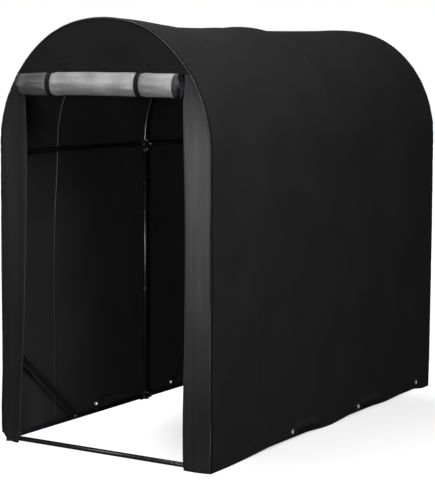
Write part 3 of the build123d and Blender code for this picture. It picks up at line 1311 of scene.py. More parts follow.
@dataclass
class CoverShell:
    """The long wrap of walls and roof, sewn from a front strip and a main length."""

    form: Form
    drape: Drape
    palette: Palette
    cloth: float = 0.0012
    hem_zone: float = 0.10
    front_zone: float = 0.12
    arch_zone: float = 0.04
    rear_zone: float = 0.10
    seam_zone: float = 0.004
    eyelet_hole: float = 0.0066
    eyelet_zones: Span = (0.022, 0.014)

    def _girth_marks(self) -> list[float]:
        """Grid lines round the wrap, closer together in the two hems."""
        girth = self.form.girth
        return marks(0.0, (self.hem_zone, 18), (girth - self.hem_zone, 268), (girth, 18))

    def _length(self, name: str, stations: Sequence[float], nodes: Sequence[str]) -> None:
        """Make one length of the wrap and pierce its eyelet holes.

        Args:
            name: The piece's name.
            stations: Grid lines from front to rear.
            nodes: The nodes that it stands for.
        """
        form = self.form
        piece = Workpiece(name)
        piece.sheet(self._girth_marks(), stations, self.drape.place)
        self._pierce(piece)
        piece.face_towards(lambda spot: Vector((spot.x, 0.0, max(0.0, spot.z - form.spring / 2))))
        made = piece.cover([self.palette.cover, self.palette.inside], self.cloth)
        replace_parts(made, *nodes)
        form.girth
        stations[-1] - stations[0]

    def _pierce(self, piece: Workpiece) -> None:
        """Cut the eyelet holes in the hem, in a grid that is made finer round each."""
        for eye_y, eye_z in self.form.eyelets:
            for side in SIDES.values():
                middle = Vector((side * self.form.half, eye_y, eye_z))
                for reach in self.eyelet_zones:
                    near = [
                        f for f in piece.mesh.faces if (f.calc_center_median() - middle).length < reach
                    ]
                    edges = list({e for f in near for e in f.edges})
                    if edges:
                        bmesh.ops.subdivide_edges(piece.mesh, edges=edges, cuts=1, use_grid_fill=True)
                inside = [
                    f
                    for f in piece.mesh.faces
                    if any((v.co - middle).length < self.eyelet_hole for v in f.verts)
                ]
                bmesh.ops.delete(piece.mesh, geom=inside, context="FACES")

    def build(self) -> None:
        """Make both lengths of the wrap."""
        front, rear = self.form.front, self.form.rear
        seam = front + self.drape.seam_behind_front
        lap = self.drape.seam_half_width + self.seam_zone
        rounding = self.drape.edge_round
        middle = self.form.hoops["middle"]
        zone = (front + self.front_zone, 12)
        strip = marks(front, (front + rounding, 6), zone, (seam - lap, 15), (seam, 5))
        main = marks(
            seam,
            (seam + lap, 5),
            (middle - self.arch_zone, 44),
            (middle + self.arch_zone, 14),
            (rear - self.rear_zone, 58),
            (rear - rounding, 8),
            (rear, 6),
        )
        self._length("cover_front_strip", strip, [])
        nodes = ["left_wall", "right_wall", "left_hem", "right_hem", "roof_front_bay", "roof_rear_bay"]
        self._length("cover_main_length", main, nodes)


@dataclass
class EndPanels:
    """The front panel round the doorway, in its fascia and two jambs, and the rear panel.

    A share runs across a jamb, from 0 at its free edge to 1 at the corded seam.
    """

    form: Form
    drape: Drape
    palette: Palette
    cloth: float = 0.0012
    inset: float = 0.0050
    proud: float = 0.0004
    free_edge: Wrinkle = Wrinkle(0.0025, (4.0, 2.0), 0.3)
    drawn_height: Ramp = Ramp(-0.1, 0.64)
    drawn_curve: float = 1.4
    lean: float = 0.011
    lean_from: float = 0.5
    right_edge_in: float = 0.004
    held_curve: float = 0.7
    held_top: Ramp = Ramp(0.0, 0.10)
    waves: Wrinkle = Wrinkle(0.0030, (1.3, 1.5), 5.0, 3)
    wave_shift: float = 4.0
    folds: Wrinkle = Wrinkle(0.0022, (4.2, 1.1), 9.0)
    fold_slant: float = 0.8
    shoulder_fold: float = 0.0017
    shoulder_fold_turns: Span = (9.0, 6.0)
    shoulder_fold_place: Hump = Hump(0.1, 0.28)
    curl: float = 0.0075
    curl_turns: Span = (5.2, 0.8)
    band: float = 0.0009
    band_edge: Ramp = Ramp(0.20, 0.24)
    foot: float = 0.006
    foot_place: Hump = Hump(0.0, 0.05)
    left_flare: float = 0.9
    right_flare: float = 0.4
    lift_curve: float = 2.5
    lift_place: Hump = Hump(0.0, 0.12)
    fascia_rim: Ramp = Ramp(0.0, 0.07)
    fascia_waves: Wrinkle = Wrinkle(0.0024, (3.0, 3.0), 5.0, 3)
    fascia_band: float = 0.0012
    fascia_band_edge: Ramp = Ramp(0.027, 0.030)
    strap_fan: float = 0.0016
    strap_fan_folds: int = 6
    strap_fan_fade: float = 0.045
    strap_fan_squash: float = 0.8
    strap_dent: float = 0.0020
    strap_dent_width: float = 0.040
    strap_dent_place: Hump = Hump(0.030, 0.006)
    rear_rim: Ramp = Ramp(0.0, 0.12)
    rear_waves: Wrinkle = Wrinkle(0.0034, (2.2, 1.6), 11.0, 3)
    rear_lines: Wrinkle = Wrinkle(0.0014, (9.0, 1.0), 2.0)

    def jamb_edge(self, side: int, z: float) -> float:
        """Distance from the middle to a jamb's free edge at a height."""
        form = self.form
        wander = self.free_edge.at(z, side)
        if side == LEFT:
            drawn = form.drawn_back * (1 - self.drawn_height.at(z)) ** self.drawn_curve
            leaning = self.lean * smooth_step(z, self.lean_from, form.lintel)
            return form.opening - leaning + drawn + wander
        return form.opening + self.right_edge_in + wander

    def jamb_depth(self, side: int, share: float, z: float) -> float:
        """How far forward of the front face a jamb stands.

        Args:
            side: Which jamb.
            share: Place across it.
            z: Height.

        Returns:
            The distance.
        """
        form = self.form
        held = math.sin(math.pi * min(1.0, max(0.0, share))) ** self.held_curve
        top = self.held_top.at(form.lintel - z)
        below = form.shoulder - z
        across, down = self.shoulder_fold_turns
        slack = self.waves.at(share, z, side * self.wave_shift)
        slack += self.folds.at(share, z, z * self.fold_slant * side, side)
        fold = math.sin(share * across + below * down)
        slack += self.shoulder_fold * fold * self.shoulder_fold_place.at(below)
        up, start = self.curl_turns
        curl = self.curl * (1 - share) ** 3 * math.sin(z * up + side * start) * top
        band = self.band * (1 - self.band_edge.at(share))
        foot = self.foot * self.foot_place.at(z) * held
        return slack * held * top + curl + band + foot + self.proud

    def jamb_point(self, side: int, share: float, z: float) -> Vector:
        """A point on a jamb's front face."""
        form, drape = self.form, self.drape
        left = side == LEFT
        inner, outer = self.jamb_edge(side, z), form.outline(z, self.inset)
        outer += drape.flare * drape.flare_place.at(z) * (self.left_flare if left else self.right_flare)
        x = inner + (outer - inner) * share
        lift = drape.corner_lift * share**self.lift_curve * self.lift_place.at(z) if left else 0.0
        return Vector((side * x, form.front - self.jamb_depth(side, share, z), z + lift))

    def jamb(self, name: str, side: int) -> None:
        """Make one jamb."""
        form = self.form
        piece = Workpiece(f"{name}_jamb_cloth")
        width = form.half - form.opening
        acrosses = marks(0.0, (0.2 * width, 5), (0.26 * width, 4), (width, 14))
        heights = marks(0.0, (0.08, 10), (form.lintel, 120))
        piece.sheet(heights, acrosses, lambda z, across: self.jamb_point(side, across / width, z))
        piece.face_towards(lambda spot: FORWARD)
        made = piece.cover([self.palette.jambs[name]], self.cloth)
        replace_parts(made, f"front_{name}_jamb")

    def fascia_depth(self, x: float, z: float) -> float:
        """How far forward of the front face the fascia stands."""
        form = self.form
        above = z - form.lintel
        rim = self.fascia_rim.at(form.outline(z, self.inset) - abs(x))
        total = self.fascia_waves.at(x, z) * rim + self.proud
        total += self.fascia_band * (1 - self.fascia_band_edge.at(above))
        for strap in form.straps.values():
            beside, over = x - strap, z - form.strap_top
            reach = math.hypot(beside, over * self.strap_fan_squash)
            fan = math.cos(math.atan2(over, beside) * self.strap_fan_folds + strap)
            total += self.strap_fan * fan * math.exp(-reach / self.strap_fan_fade) * rim
            dent = bell(beside, self.strap_dent_width) * self.strap_dent_place.at(above)
            total -= self.strap_dent * dent
        return total

    def fascia(self) -> None:
        """Make the fascia over the doorway."""
        form = self.form
        piece = Workpiece("front_fascia_cloth")
        low = form.lintel
        reach = form.outline(low, self.inset)
        turns = marks(0.0, (math.pi, 96))
        shares = marks(0.0, (0.13, 10), (0.16, 6), (1.0, 30))

        def rule(turn: float, share: float) -> Vector:
            """Rise from the fascia's straight lower edge to its arched one."""
            x = -reach * math.cos(turn)
            open_share = math.sqrt(max(0.0, 1 - (x / (form.half - self.inset)) ** 2))
            top = form.spring + (form.rise - self.inset) * open_share
            z = low + (top - low) * share
            return Vector((x, form.front - self.fascia_depth(x, z), z))

        piece.sheet(turns, shares, rule, close=True)
        piece.lay_uv()
        piece.face_towards(lambda spot: FORWARD)
        made = piece.cover([self.palette.fascia], self.cloth)
        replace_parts(made, "front_fascia")
        2 * reach
        0.70 * 2 * reach * (form.crown - low)

    def rear(self) -> None:
        """Make the rear panel."""
        form = self.form
        piece = Workpiece("rear_panel")
        top = form.crown - self.inset
        bend = math.pi / 2
        levels = marks(0.0, (1.0, 86), (1.0 + bend, 54))

        def rule(share: float, level: float) -> Vector:
            """Cross from one leg to the other at each level, which turns with the arch above."""
            z = form.spring * min(level, 1.0) + (top - form.spring) * math.sin(max(level - 1.0, 0.0))
            x = form.outline(z, self.inset) * (1 - 2 * share)
            rim = math.sin(math.pi * share) * self.rear_rim.at(top - z)
            slack = self.rear_waves.at(x, z) + self.rear_lines.at(x, z)
            return Vector((x, form.rear + slack * rim, z))

        piece.sheet(marks(0.0, (1.0, 64)), levels, rule, close=True)
        piece.lay_uv()
        piece.face_towards(lambda spot: -FORWARD)
        made = piece.cover([self.palette.cover, self.palette.inside], self.cloth)
        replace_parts(made, "rear_wall")

    def build(self) -> None:
        """Make both ends."""
        self.fascia()
        for name, side in SIDES.items():
            self.jamb(name, side)
        self.rear()


@dataclass
class DoorRoll:
    """The door, rolled forward and up so that its silver lining shows."""

    form: Form
    palette: Palette
    length: float = 1.42
    core: float = 0.17
    cloth: float = 0.0011
    room_inside: Span = (0.0016, 0.0014)
    pinch_depth: float = 0.0080
    pinch_height: float = 0.0030
    pinch_width: float = 0.019
    left_taper: Span = (0.008, 0.003)
    taper_from_strap: float = 0.02
    swelling: Wrinkle = Wrinkle(1.0, (9.0, 0.0), 4.0)
    swelling_depth: Span = (0.0010, 0.0008)
    ridge: float = 0.0012
    ridge_cells: Span = (15.0, 2.2)
    fan: float = 0.0022
    fan_folds: int = 9
    fan_start: Ramp = Ramp(0.008, 0.03)
    fan_width: float = 0.055
    fan_phases: Span = (1.0, 5.0)
    crumple: float = 0.0030
    crumple_cells: Span = (22.0, 3.0)
    behind: float = 0.0016
    sag: float = 0.0022
    sag_turns: float = 7.5
    sag_aside: float = 0.02
    raised: float = 0.0012
    end_room: float = 0.004
    end_margin: float = 0.0005
    end_zone: float = 0.03
    end_share: Ramp = Ramp(0.86, 1.0)
    ragged: Wrinkle = Wrinkle(0.0030, (1.7, 0.0), 0.0)
    ragged_layers: Span = (2.0, 8.0)
    pushed: float = 0.0045
    pushed_turns: float = 2.2
    slid: float = 0.0035
    slide: Ramp = Ramp(-0.3, 0.3)
    lip: float = 0.0070
    lip_turn: Hump = Hump(0.36, 0.10)
    turn_cells: int = 44

    def half_sizes(self, x: float) -> tuple[float, float]:
        """Half depth and half height of the roll at a place along it."""
        form = self.form
        drawn = sum(bell(x - strap, self.pinch_width) for strap in form.straps.values())
        left = smooth_step(-x, self.taper_from_strap - form.straps["left"], form.roll_half)
        wave = self.swelling.at(x, 0.0)
        full = (form.roll_depth, form.roll_height)
        pinches = (self.pinch_depth, self.pinch_height)
        parts = zip(full, self.room_inside, pinches, self.left_taper, self.swelling_depth)
        depth, height = (
            size - room - pinch * drawn - taper * left + swell * wave
            for size, room, pinch, taper, swell in parts
        )
        return depth, height

    @staticmethod
    def _around(x: float, angle: float, cells: Span) -> Vector:
        """A place in the noise that runs on without a break round the roll."""
        along, around = cells
        return Vector((x * along, math.cos(angle) * around, math.sin(angle) * around))

    def surface(self, x: float, angle: float, share: float = 0.0, above: float = 0.0) -> Vector:
        """A point on the roll.

        Args:
            x: Place along the roll.
            angle: Turn about the roll, 0 at the back and growing over the top.
            share: How far in from the outer layer, 1 at the middle.
            above: Distance outside the layer.

        Returns:
            The point.
        """
        form = self.form
        depth, height = self.half_sizes(x)
        swell = self.ridge * noise.noise(self._around(x, angle, self.ridge_cells)) + above
        for strap in form.straps.values():
            away = x - strap
            fan = math.sin(angle * self.fan_folds + self.fan_phases[away > 0])
            swell += self.fan * fan * self.fan_start.at(abs(away)) * bell(away, self.fan_width)
        left = smooth_step(-x, -form.straps["left"], form.roll_half)
        swell += self.crumple * left * ripple(*self._around(x, angle, self.crumple_cells))
        along_y = math.cos(angle) * (depth + swell) * (1 - share)
        if along_y > 0:
            along_y *= (form.front - form.roll_middle.y - self.behind) / form.roll_depth
        along_z = math.sin(angle) * (height + swell) * (1 - share)
        droop = self.sag * math.cos((x + self.sag_aside) * self.sag_turns) + self.raised
        return form.roll_middle + Vector((x, along_y, droop + along_z))

    def build(self) -> None:
        """Make the rolled cloth as one spiral sheet."""
        form = self.form
        mean = (form.roll_depth + form.roll_height) / 2
        turns = self.length / (math.pi * mean * (1 + self.core))
        piece = Workpiece("rolled_door")
        half = form.roll_half - self.end_room

        def rule(along: float, across: float) -> Vector:
            """Wind from the lintel down the back, under, up the front and inwards."""
            wound = along / self.length
            turned = wound * turns
            right = across > 0
            shift = self.ragged.at(turned, 0.0, 0.0, self.ragged_layers[right])
            shift += self.pushed * math.sin(turned * self.pushed_turns) * wound
            end = self.end_share.at(abs(across) / half)
            x = across + shift * end + self.slid * self.slide.at(across)
            lip = self.lip * end * self.lip_turn.at(turned) if right else 0.0
            x = min(x, form.roll_half - self.end_margin)
            return self.surface(x, -TAU * turned, (1 - self.core) * wound) - Vector((0, 0, lip))

        lengths = marks(0.0, (self.length, round(turns * self.turn_cells)))
        inner = half - self.end_zone
        piece.sheet(lengths, marks(-half, (-inner, 5), (inner, 68), (half, 5)), rule)
        middle = form.roll_middle
        piece.face_towards(lambda spot: Vector((0, spot.y - middle.y, spot.z - middle.z)))
        materials = [self.palette.lining, self.palette.door_face]
        made = piece.finish(materials, self.cloth, solid=False)
        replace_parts(made, "door_roll")


@dataclass
class DoorStraps:
    """The two webbing loops that carry the rolled door."""

    form: Form
    palette: Palette
    roll: DoorRoll
    width: float = 0.021
    webbing: float = 0.0014
    clear: float = 0.0016
    tab_proud: float = 0.0042
    tab_step: float = 0.15
    tab_points: int = 6
    loop: Span = (math.radians(112), math.radians(388))
    loop_points: int = 64
    tail: Span = (0.0008, 0.012)
    box_stitch: float = 0.0036
    box_proud: float = 0.0060
    box_share: float = 0.38
    box_foot: float = 0.012
    box_top: float = 0.003
    box_thread: tuple[float, float, float] = (0.0015, 0.0005, 0.0005)

    def _path(self, x: float) -> list[Vector]:
        """The line of a strap from its sewn tab down the front, under and up behind the roll."""
        form = self.form
        drop = (form.strap_top - form.lintel) * self.tab_step
        y = form.front - self.tab_proud
        points = [Vector((x, y, form.strap_top - drop * k)) for k in range(self.tab_points)]
        for angle in marks(self.loop[0], (self.loop[1], self.loop_points)):
            points.append(self.roll.surface(x, angle, above=self.webbing + self.clear))
        proud, height = self.tail
        points.append(Vector((x, form.front - proud, form.lintel + height)))
        return points

    def strap(self, side: str, x: float) -> None:
        """Make one strap."""
        piece = Workpiece(f"{side}_door_strap_webbing")
        path = self._path(x)
        travelled = [0.0]
        for a, b in zip(path, path[1:]):
            travelled.append(travelled[-1] + (b - a).length)
        half = self.width / 2

        def rule(along: float, across: float) -> Vector:
            """Follow the path, with the webbing lying square across it."""
            return path[travelled.index(along)] + Vector((across, 0.0, 0.0))

        piece.sheet(travelled, marks(-half, (half, 6)), rule)
        centre = self.form.roll_middle
        piece.face_towards(lambda spot: Vector((0, spot.y - centre.y - 0.01, spot.z - centre.z)))
        made = piece.finish([self.palette.webbing], self.webbing, solid=False)
        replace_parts(made, f"{side}_door_strap")

    def boxes(self) -> None:
        """Sew each strap's tab down with a box of stitches and one diagonal."""
        form = self.form
        piece = Workpiece("strap_box_stitches")
        y = form.front - self.box_proud
        low, high = form.lintel + self.box_foot, form.strap_top - self.box_top
        for x in form.straps.values():
            left, right = x - self.width * self.box_share, x + self.width * self.box_share
            box = [(left, low), (right, low), (right, high), (left, high), (left, low), (right, high)]
            for (xa, za), (xb, zb) in zip(box, box[1:]):
                line = [Vector((xa, y, za)).lerp(Vector((xb, y, zb)), k / 8) for k in range(9)]
                piece.stitch_line(line, [FORWARD] * len(line), self.box_stitch, self.box_thread)
        piece.finish([self.palette.black_yarn])

    def build(self) -> None:
        """Make both straps."""
        for side, x in self.form.straps.items():
            self.strap(side, x)
        self.boxes()


@dataclass
class Trims:
    """Piping, stitches and zip coils of the cover."""

    form: Form
    drape: Drape
    ends: EndPanels
    palette: Palette
    pitch: float = 0.0085
    stitch: tuple[float, float, float] = (0.0026, 0.0006, 0.0005)
    pale_stitch: tuple[float, float, float] = (0.0036, 0.0016, 0.0012)
    thread_proud: float = 0.0003
    cord: float = 0.0024
    cord_points: int = 380
    cord_from_ground: float = 0.003
    cord_lowest: float = 0.0036
    cord_inset_share: float = 0.62
    cord_wander: Wrinkle = Wrinkle(0.0006, (16.0, 0.0), 1.0)
    cord_proud: float = 0.0006
    cord_swell: Wrinkle = Wrinkle(0.10, (60.0, 3.0), 0.0)
    seam_end: float = 0.02
    seam_cells: int = 420
    seam_rows: Span = (-0.0045, 0.0045)
    inside_depth: float = -0.0022
    allowance: float = 0.011
    allowance_cells: int = 260
    allowance_cloth: float = 0.0006
    allowance_depth: float = 0.0016
    allowance_curl: float = 0.0012
    allowance_place: Hump = Hump(0.004, 0.004)
    hem_end: float = 0.014
    hem_cells: int = 260
    hem_row: float = 0.003
    fascia_row: float = 0.0255
    fascia_end: float = 0.006
    zip_foot: float = 0.012
    zip_top: float = 0.09
    zip_cells: int = 170
    coil: float = 0.0017
    coil_place: Span = (0.0010, 0.0006)
    jamb_rows: Span = (0.07, 0.19)

    def piping(self, name: str, y: float, outward: int) -> None:
        """Make the corded edge of one end, from the ground over the arch to the ground.

        Args:
            name: The piece's name.
            y: The end's face.
            outward: -1 at the front and 1 at the rear.
        """
        drape = self.drape
        piece = Workpiece(name)
        points, sizes = [], []
        start = self.cord_from_ground
        for s in marks(start, (self.form.girth - start, self.cord_points)):
            wander = self.cord_wander.at(s, 0.0, layer=outward)
            point, out = drape.base(s, y)
            push = drape.push(s, y, point)
            spot = point + out * (push - drape.edge_round * self.cord_inset_share + wander)
            proud = outward * (self.cord_proud + wander)
            points.append(Vector((spot.x, y + proud, max(spot.z, self.cord_lowest))))
            sizes.append(self.cord * (1 + self.cord_swell.at(s, 1.0, layer=outward)))
        piece.tube(points, lambda index: (sizes[index], sizes[index]), 10)
        piece.finish([self.palette.edge_cord])

    def seam_stitches(self) -> None:
        """Sew the lapped seam: dark thread outside and a pale thread inside."""
        form, drape, palette = self.form, self.drape, self.palette
        y = form.front + drape.seam_behind_front
        runs = marks(self.seam_end, (form.girth - self.seam_end, self.seam_cells))
        outs = [drape.base(s, y)[1] for s in runs]
        outside = (self.thread_proud, palette.black_yarn, self.seam_rows, self.stitch)
        inside = (self.inside_depth, palette.pale_yarn, (0.0,), self.pale_stitch)
        for name, (above, yarn, rows, half) in (("outside", outside), ("inside", inside)):
            piece = Workpiece(f"seam_stitches_{name}")
            for row in rows:
                places = [drape.place(s, y + row, above) for s in runs]
                piece.stitch_line(places, outs, self.pitch, half)
            piece.finish([yarn])

    def seam_allowance(self) -> None:
        """Lay the turned edge of the lapped seam inside the cover."""
        form, drape = self.form, self.drape
        y = form.front + drape.seam_behind_front
        piece = Workpiece("seam_allowance")
        runs = marks(self.seam_end, (form.girth - self.seam_end, self.allowance_cells))
        reach = self.allowance

        def rule(s: float, across: float) -> Vector:
            """Follow the cover's inner face, with one edge curled away from it."""
            curl = self.allowance_curl * self.allowance_place.at(across)
            return drape.place(s, y + across, -self.allowance_depth - curl)

        piece.sheet(runs, marks(-reach, (reach, 6)), rule)
        piece.face_towards(lambda spot: Vector((-spot.x, 0, -max(0.0, spot.z - form.spring / 2))))
        made = piece.cover([self.palette.inside], self.allowance_cloth)
        form.girth
        2 * reach

    def hem_stitches(self) -> None:
        """Sew the turned-up hem of both walls, and the fascia's lower edge."""
        form, drape = self.form, self.drape
        piece = Workpiece("hem_stitches")
        stations = marks(form.front + self.hem_end, (form.rear - self.hem_end, self.hem_cells))
        row = drape.hem_fold - self.hem_row
        left = [row / (form.spring - drape.hem(y)) * form.spring for y in stations]
        for runs in (left, [form.girth - s for s in left]):
            places = [drape.place(s, y, self.thread_proud) for s, y in zip(runs, stations)]
            outs = [drape.base(s, y)[1] for s, y in zip(runs, stations)]
            piece.stitch_line(places, outs, self.pitch, self.stitch)
        height = form.lintel + self.fascia_row
        reach = form.outline(height, self.ends.inset) - self.fascia_end
        places = [
            Vector((x, form.front - self.ends.fascia_depth(x, height) - self.thread_proud, height))
            for x in marks(-reach, (reach, 120))
        ]
        piece.stitch_line(places, [FORWARD] * len(places), self.pitch, self.stitch)
        piece.finish([self.palette.black_yarn])

    def zips(self) -> None:
        """Lay a zip coil and two rows of stitches along each jamb's free edge."""
        ends = self.ends
        aside, behind = self.coil_place
        heights = marks(self.zip_foot, (self.form.lintel - self.zip_top, self.zip_cells))
        for name, side in SIDES.items():
            coil = Workpiece(f"{name}_zip_coil")
            shift = Vector((-side * aside, behind, 0.0))
            spots = [ends.jamb_point(side, 0.0, z) + shift for z in heights]
            coil.tube(spots, lambda index: (self.coil, self.coil), 8)
            coil.finish([self.palette.zip_coil])
            sewn = Workpiece(f"{name}_jamb_stitches")
            proud = FORWARD * self.thread_proud
            for share in self.jamb_rows:
                line = [ends.jamb_point(side, share, z) + proud for z in heights]
                sewn.stitch_line(line, [FORWARD] * len(line), self.pitch, self.stitch)
            sewn.finish([self.palette.black_yarn])

    def build(self) -> None:
        """Make every trim."""
        self.piping("front_edge_piping", self.form.front, -1)
        self.piping("rear_edge_piping", self.form.rear, 1)
        self.seam_allowance()
        self.seam_stitches()
        self.hem_stitches()
        self.zips()


class Arm(Enum):
    """Ways that a fitting's sockets point."""

    UP = (0, 0, 1)
    DOWN = (0, 0, -1)
    BACK = (0, 1, 0)
    FORTH = (0, -1, 0)
    INWARD = (1, 0, 0)

    def way(self, side: int) -> Vector:
        """The direction on one side of the shelter."""
        x, y, z = self.value
        return Vector((-side * x, y, z))


@dataclass
class TubeFrame:
    """The steel tubes, moulded fittings, braces and their fasteners.

    The profile of a mouth says how far each corner lies outside its radius and below its rim.
    """

    form: Form
    palette: Palette
    end_round: float = 0.0012
    arch_points: int = 72
    sleeve: float = 0.0139
    collar: float = 0.0152
    collar_foot: float = 0.009
    collar_mouth: Stations = ((-0.0004, 0.0075), (0.0, 0.0068), (0.0, 0.0012), (-0.0012, 0.0))
    play: float = 0.0006
    bore_mouth: Stations = ((0.0006, 0.0), (0.0, 0.0006), (0.0, 0.003))
    foot_pad: Stations = ((0.0, 0.0), (0.0156, 0.0), (0.0162, 0.0006), (0.0162, 0.003))
    foot_top: float = 0.0055
    reach: float = 0.036
    screw_place: float = 0.024
    screw_shift: float = 0.6
    screw_head: Stations = (
        (0.0, -0.001),
        (0.0044, -0.001),
        (0.0044, 0.0008),
        (0.0034, 0.0019),
        (0.0, 0.0024),
    )
    brace_top: float = 0.400
    brace_run: float = 0.440
    brace_radius: float = 0.009
    tab_length: float = 0.026
    tab_thin: float = 0.0015
    tab_wide: float = 0.0122
    tab_end: Stations = ((0.0, 0.55), (0.004, 0.9), (0.009, 1.0))
    press_length: float = 0.034
    press_steps: int = 6
    bolt_place: float = 0.013
    bolt_stand: float = 0.0014
    washer: Stations = ((0.0, 0.0), (0.0062, 0.0), (0.0065, 0.0003), (0.0065, 0.0011), (0.0, 0.0011))
    bolt_radii: Span = (0.0050, 0.0047)
    bolt_height: float = 0.0036
    bolt_middle: float = 0.0027
    fittings: dict[str, tuple[str, tuple[Arm, ...], bool]] = field(
        default_factory=lambda: {
            "front_corner_sockets": ("front", (Arm.UP, Arm.BACK, Arm.INWARD), True),
            "middle_foot_sockets": ("middle", (Arm.UP, Arm.BACK, Arm.FORTH), True),
            "rear_corner_sockets": ("rear", (Arm.UP, Arm.FORTH, Arm.INWARD), True),
            "front_shoulder_sockets": ("front", (Arm.DOWN, Arm.BACK, Arm.UP), False),
            "middle_shoulder_crosses": ("middle", (Arm.DOWN, Arm.BACK, Arm.FORTH, Arm.UP), False),
            "rear_shoulder_sockets": ("rear", (Arm.DOWN, Arm.FORTH, Arm.UP), False),
        }
    )

    def straight(self, node: str) -> None:
        """Make the round tube that stands for a straight one's node."""
        low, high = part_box(node)
        size = high - low
        axis = max(range(3), key=lambda index: size[index])
        start = (low + high) / 2
        end = start.copy()
        start[axis], end[axis] = low[axis], high[axis]
        round_, length, radius = self.end_round, size[axis], self.form.tube
        stops = (0.0, round_, length / 2, length - round_, length)
        points = [start.lerp(end, stop / length) for stop in stops]
        ends = (0, len(points) - 1)
        piece = Workpiece(f"{node}_tube")
        piece.tube(points, lambda i: (radius - round_ * (i in ends),) * 2)
        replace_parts(piece.finish([self.palette.tube]), node)

    def arch(self, hoop: str) -> None:
        """Make the bent tube over one hoop."""
        low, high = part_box(f"{hoop}_arch")
        tube, half = self.form.tube, self.form.leg_x
        y = (low.y + high.y) / 2
        spring = high.z - tube - half
        bend = marks(0.0, (math.pi, self.arch_points))
        points = [Vector((-half, y, low.z))]
        points += [Vector((-half * math.cos(t), y, spring + half * math.sin(t))) for t in bend]
        points.append(Vector((half, y, low.z)))
        piece = Workpiece(f"{hoop}_arch_tube")
        piece.tube(points, lambda index: (tube, tube))
        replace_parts(piece.finish([self.palette.tube]), f"{hoop}_arch")

    def _centres(self, node: str) -> list[tuple[int, Vector]]:
        """The side and middle of each of a node's two fittings."""
        form = self.form
        hoop, _, foot = self.fittings[node]
        z = form.floor_rail if foot else form.shoulder
        return [(side, Vector((side * form.leg_x, form.hoops[hoop], z))) for side in SIDES.values()]

    def _short(self, node: str, arm: Arm) -> float:
        """How much shorter one socket is, which is so only under the lower middle arch."""
        middle = self.fittings[node][0] == "middle"
        return self.form.middle_drop if middle and arm is Arm.UP else 0.0

    def fitting(self, node: str) -> None:
        """Make the pair of moulded fittings of one node."""
        _, arms, foot = self.fittings[node]
        piece = Workpiece(f"{node}_moulding")
        for side, centre in self._centres(node):
            bmesh.ops.create_uvsphere(
                piece.mesh,
                u_segments=24,
                v_segments=12,
                radius=self.collar,
                matrix=Matrix.Translation(centre),
            )
            for arm in arms:
                profile = self._sleeve(self.reach - self._short(node, arm))
                piece.lathe(profile, aimed(centre, arm.way(side)))
            if foot:
                below = Vector((centre.x, centre.y, 0.0))
                piece.lathe(self._foot(centre.z), Matrix.Translation(below))
        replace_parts(piece.finish([self.palette.joint]), node)

    def _sleeve(self, reach: float) -> Stations:
        """Profile of one socket, with a collar round its mouth."""
        bore = self.form.tube + self.play
        collar = [(self.collar + beyond, reach - below) for beyond, below in self.collar_mouth]
        mouth = [(bore + beyond, reach - below) for beyond, below in self.bore_mouth]
        root = [(0.0, 0.0), (self.sleeve, 0.0), (self.sleeve, reach - self.collar_foot)]
        return root + collar + mouth + [(0.0, mouth[-1][1])]

    def _foot(self, z: float) -> Stations:
        """Profile of the flat foot under a floor fitting."""
        return (*self.foot_pad, (self.sleeve, self.foot_top), (self.sleeve, z), (0.0, z))

    def screws(self) -> None:
        """Drive a pan-head screw through each socket into its tube."""
        piece = Workpiece("socket_screws")
        for node, (_, arms, _) in self.fittings.items():
            for side, centre in self._centres(node):
                for arm in arms:
                    along = self.screw_place - self._short(node, arm) * self.screw_shift
                    out = (Arm.UP if arm is Arm.INWARD else Arm.INWARD).way(side)
                    place = centre + arm.way(side) * along + out * self.sleeve
                    piece.lathe(self.screw_head, aimed(place, out), 10)
        piece.finish([self.palette.metal])

    def brace(self, side_name: str, hoop: str) -> tuple[Vector, Vector]:
        """Make one corner brace, a tube with pressed ends.

        Args:
            side_name: left or right.
            hoop: The hoop whose leg it holds.

        Returns:
            The middles of its two bolts.
        """
        form = self.form
        side = SIDES[side_name]
        along = 1 if hoop == "front" else -1
        node = f"{side_name}_{hoop}_brace"
        x = (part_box(node)[0].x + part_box(node)[1].x) / 2
        top = Vector((x, form.hoops[hoop], self.brace_top))
        foot = Vector((x, form.hoops[hoop] + along * self.brace_run, form.floor_rail))
        length = (foot - top).length
        thin, wide, full = self.tab_thin, self.tab_wide, self.brace_radius
        near = [(at, thin, wide * share) for at, share in self.tab_end]
        for k in range(self.press_steps + 1):
            at = self.tab_length + self.press_length * k / self.press_steps
            opened = smooth_step(k, 0, self.press_steps)
            near.append((at, thin + (full - thin) * opened, wide + (full - wide) * opened))
        stops = near + [(length / 2, full, full)]
        stops += [(length - at, a, b) for at, a, b in reversed(near)]
        points = [top.lerp(foot, at / length) for at, _, _ in stops]
        piece = Workpiece(f"{node}_tube")
        piece.tube(points, lambda index: stops[index][1:], 24, across=Vector((side, 0, 0)))
        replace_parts(piece.finish([self.palette.tube]), node)
        share = self.bolt_place / length
        return top.lerp(foot, share), top.lerp(foot, 1 - share)

    def bolts(self, places: Sequence[Vector]) -> None:
        """Fasten the tabs of the braces with washers and hexagon bolts."""
        piece = Workpiece("brace_bolts")
        base, tip = self.bolt_radii
        for place in places:
            inward = Vector((-math.copysign(1, place.x), 0, 0))
            face = place + inward * self.bolt_stand
            piece.lathe(self.washer, aimed(face, inward), 18)
            bmesh.ops.create_cone(
                piece.mesh,
                cap_ends=True,
                segments=6,
                radius1=base,
                radius2=tip,
                depth=self.bolt_height,
                matrix=aimed(face + inward * self.bolt_middle, inward),
            )
        piece.finish([self.palette.metal], smooth=False)

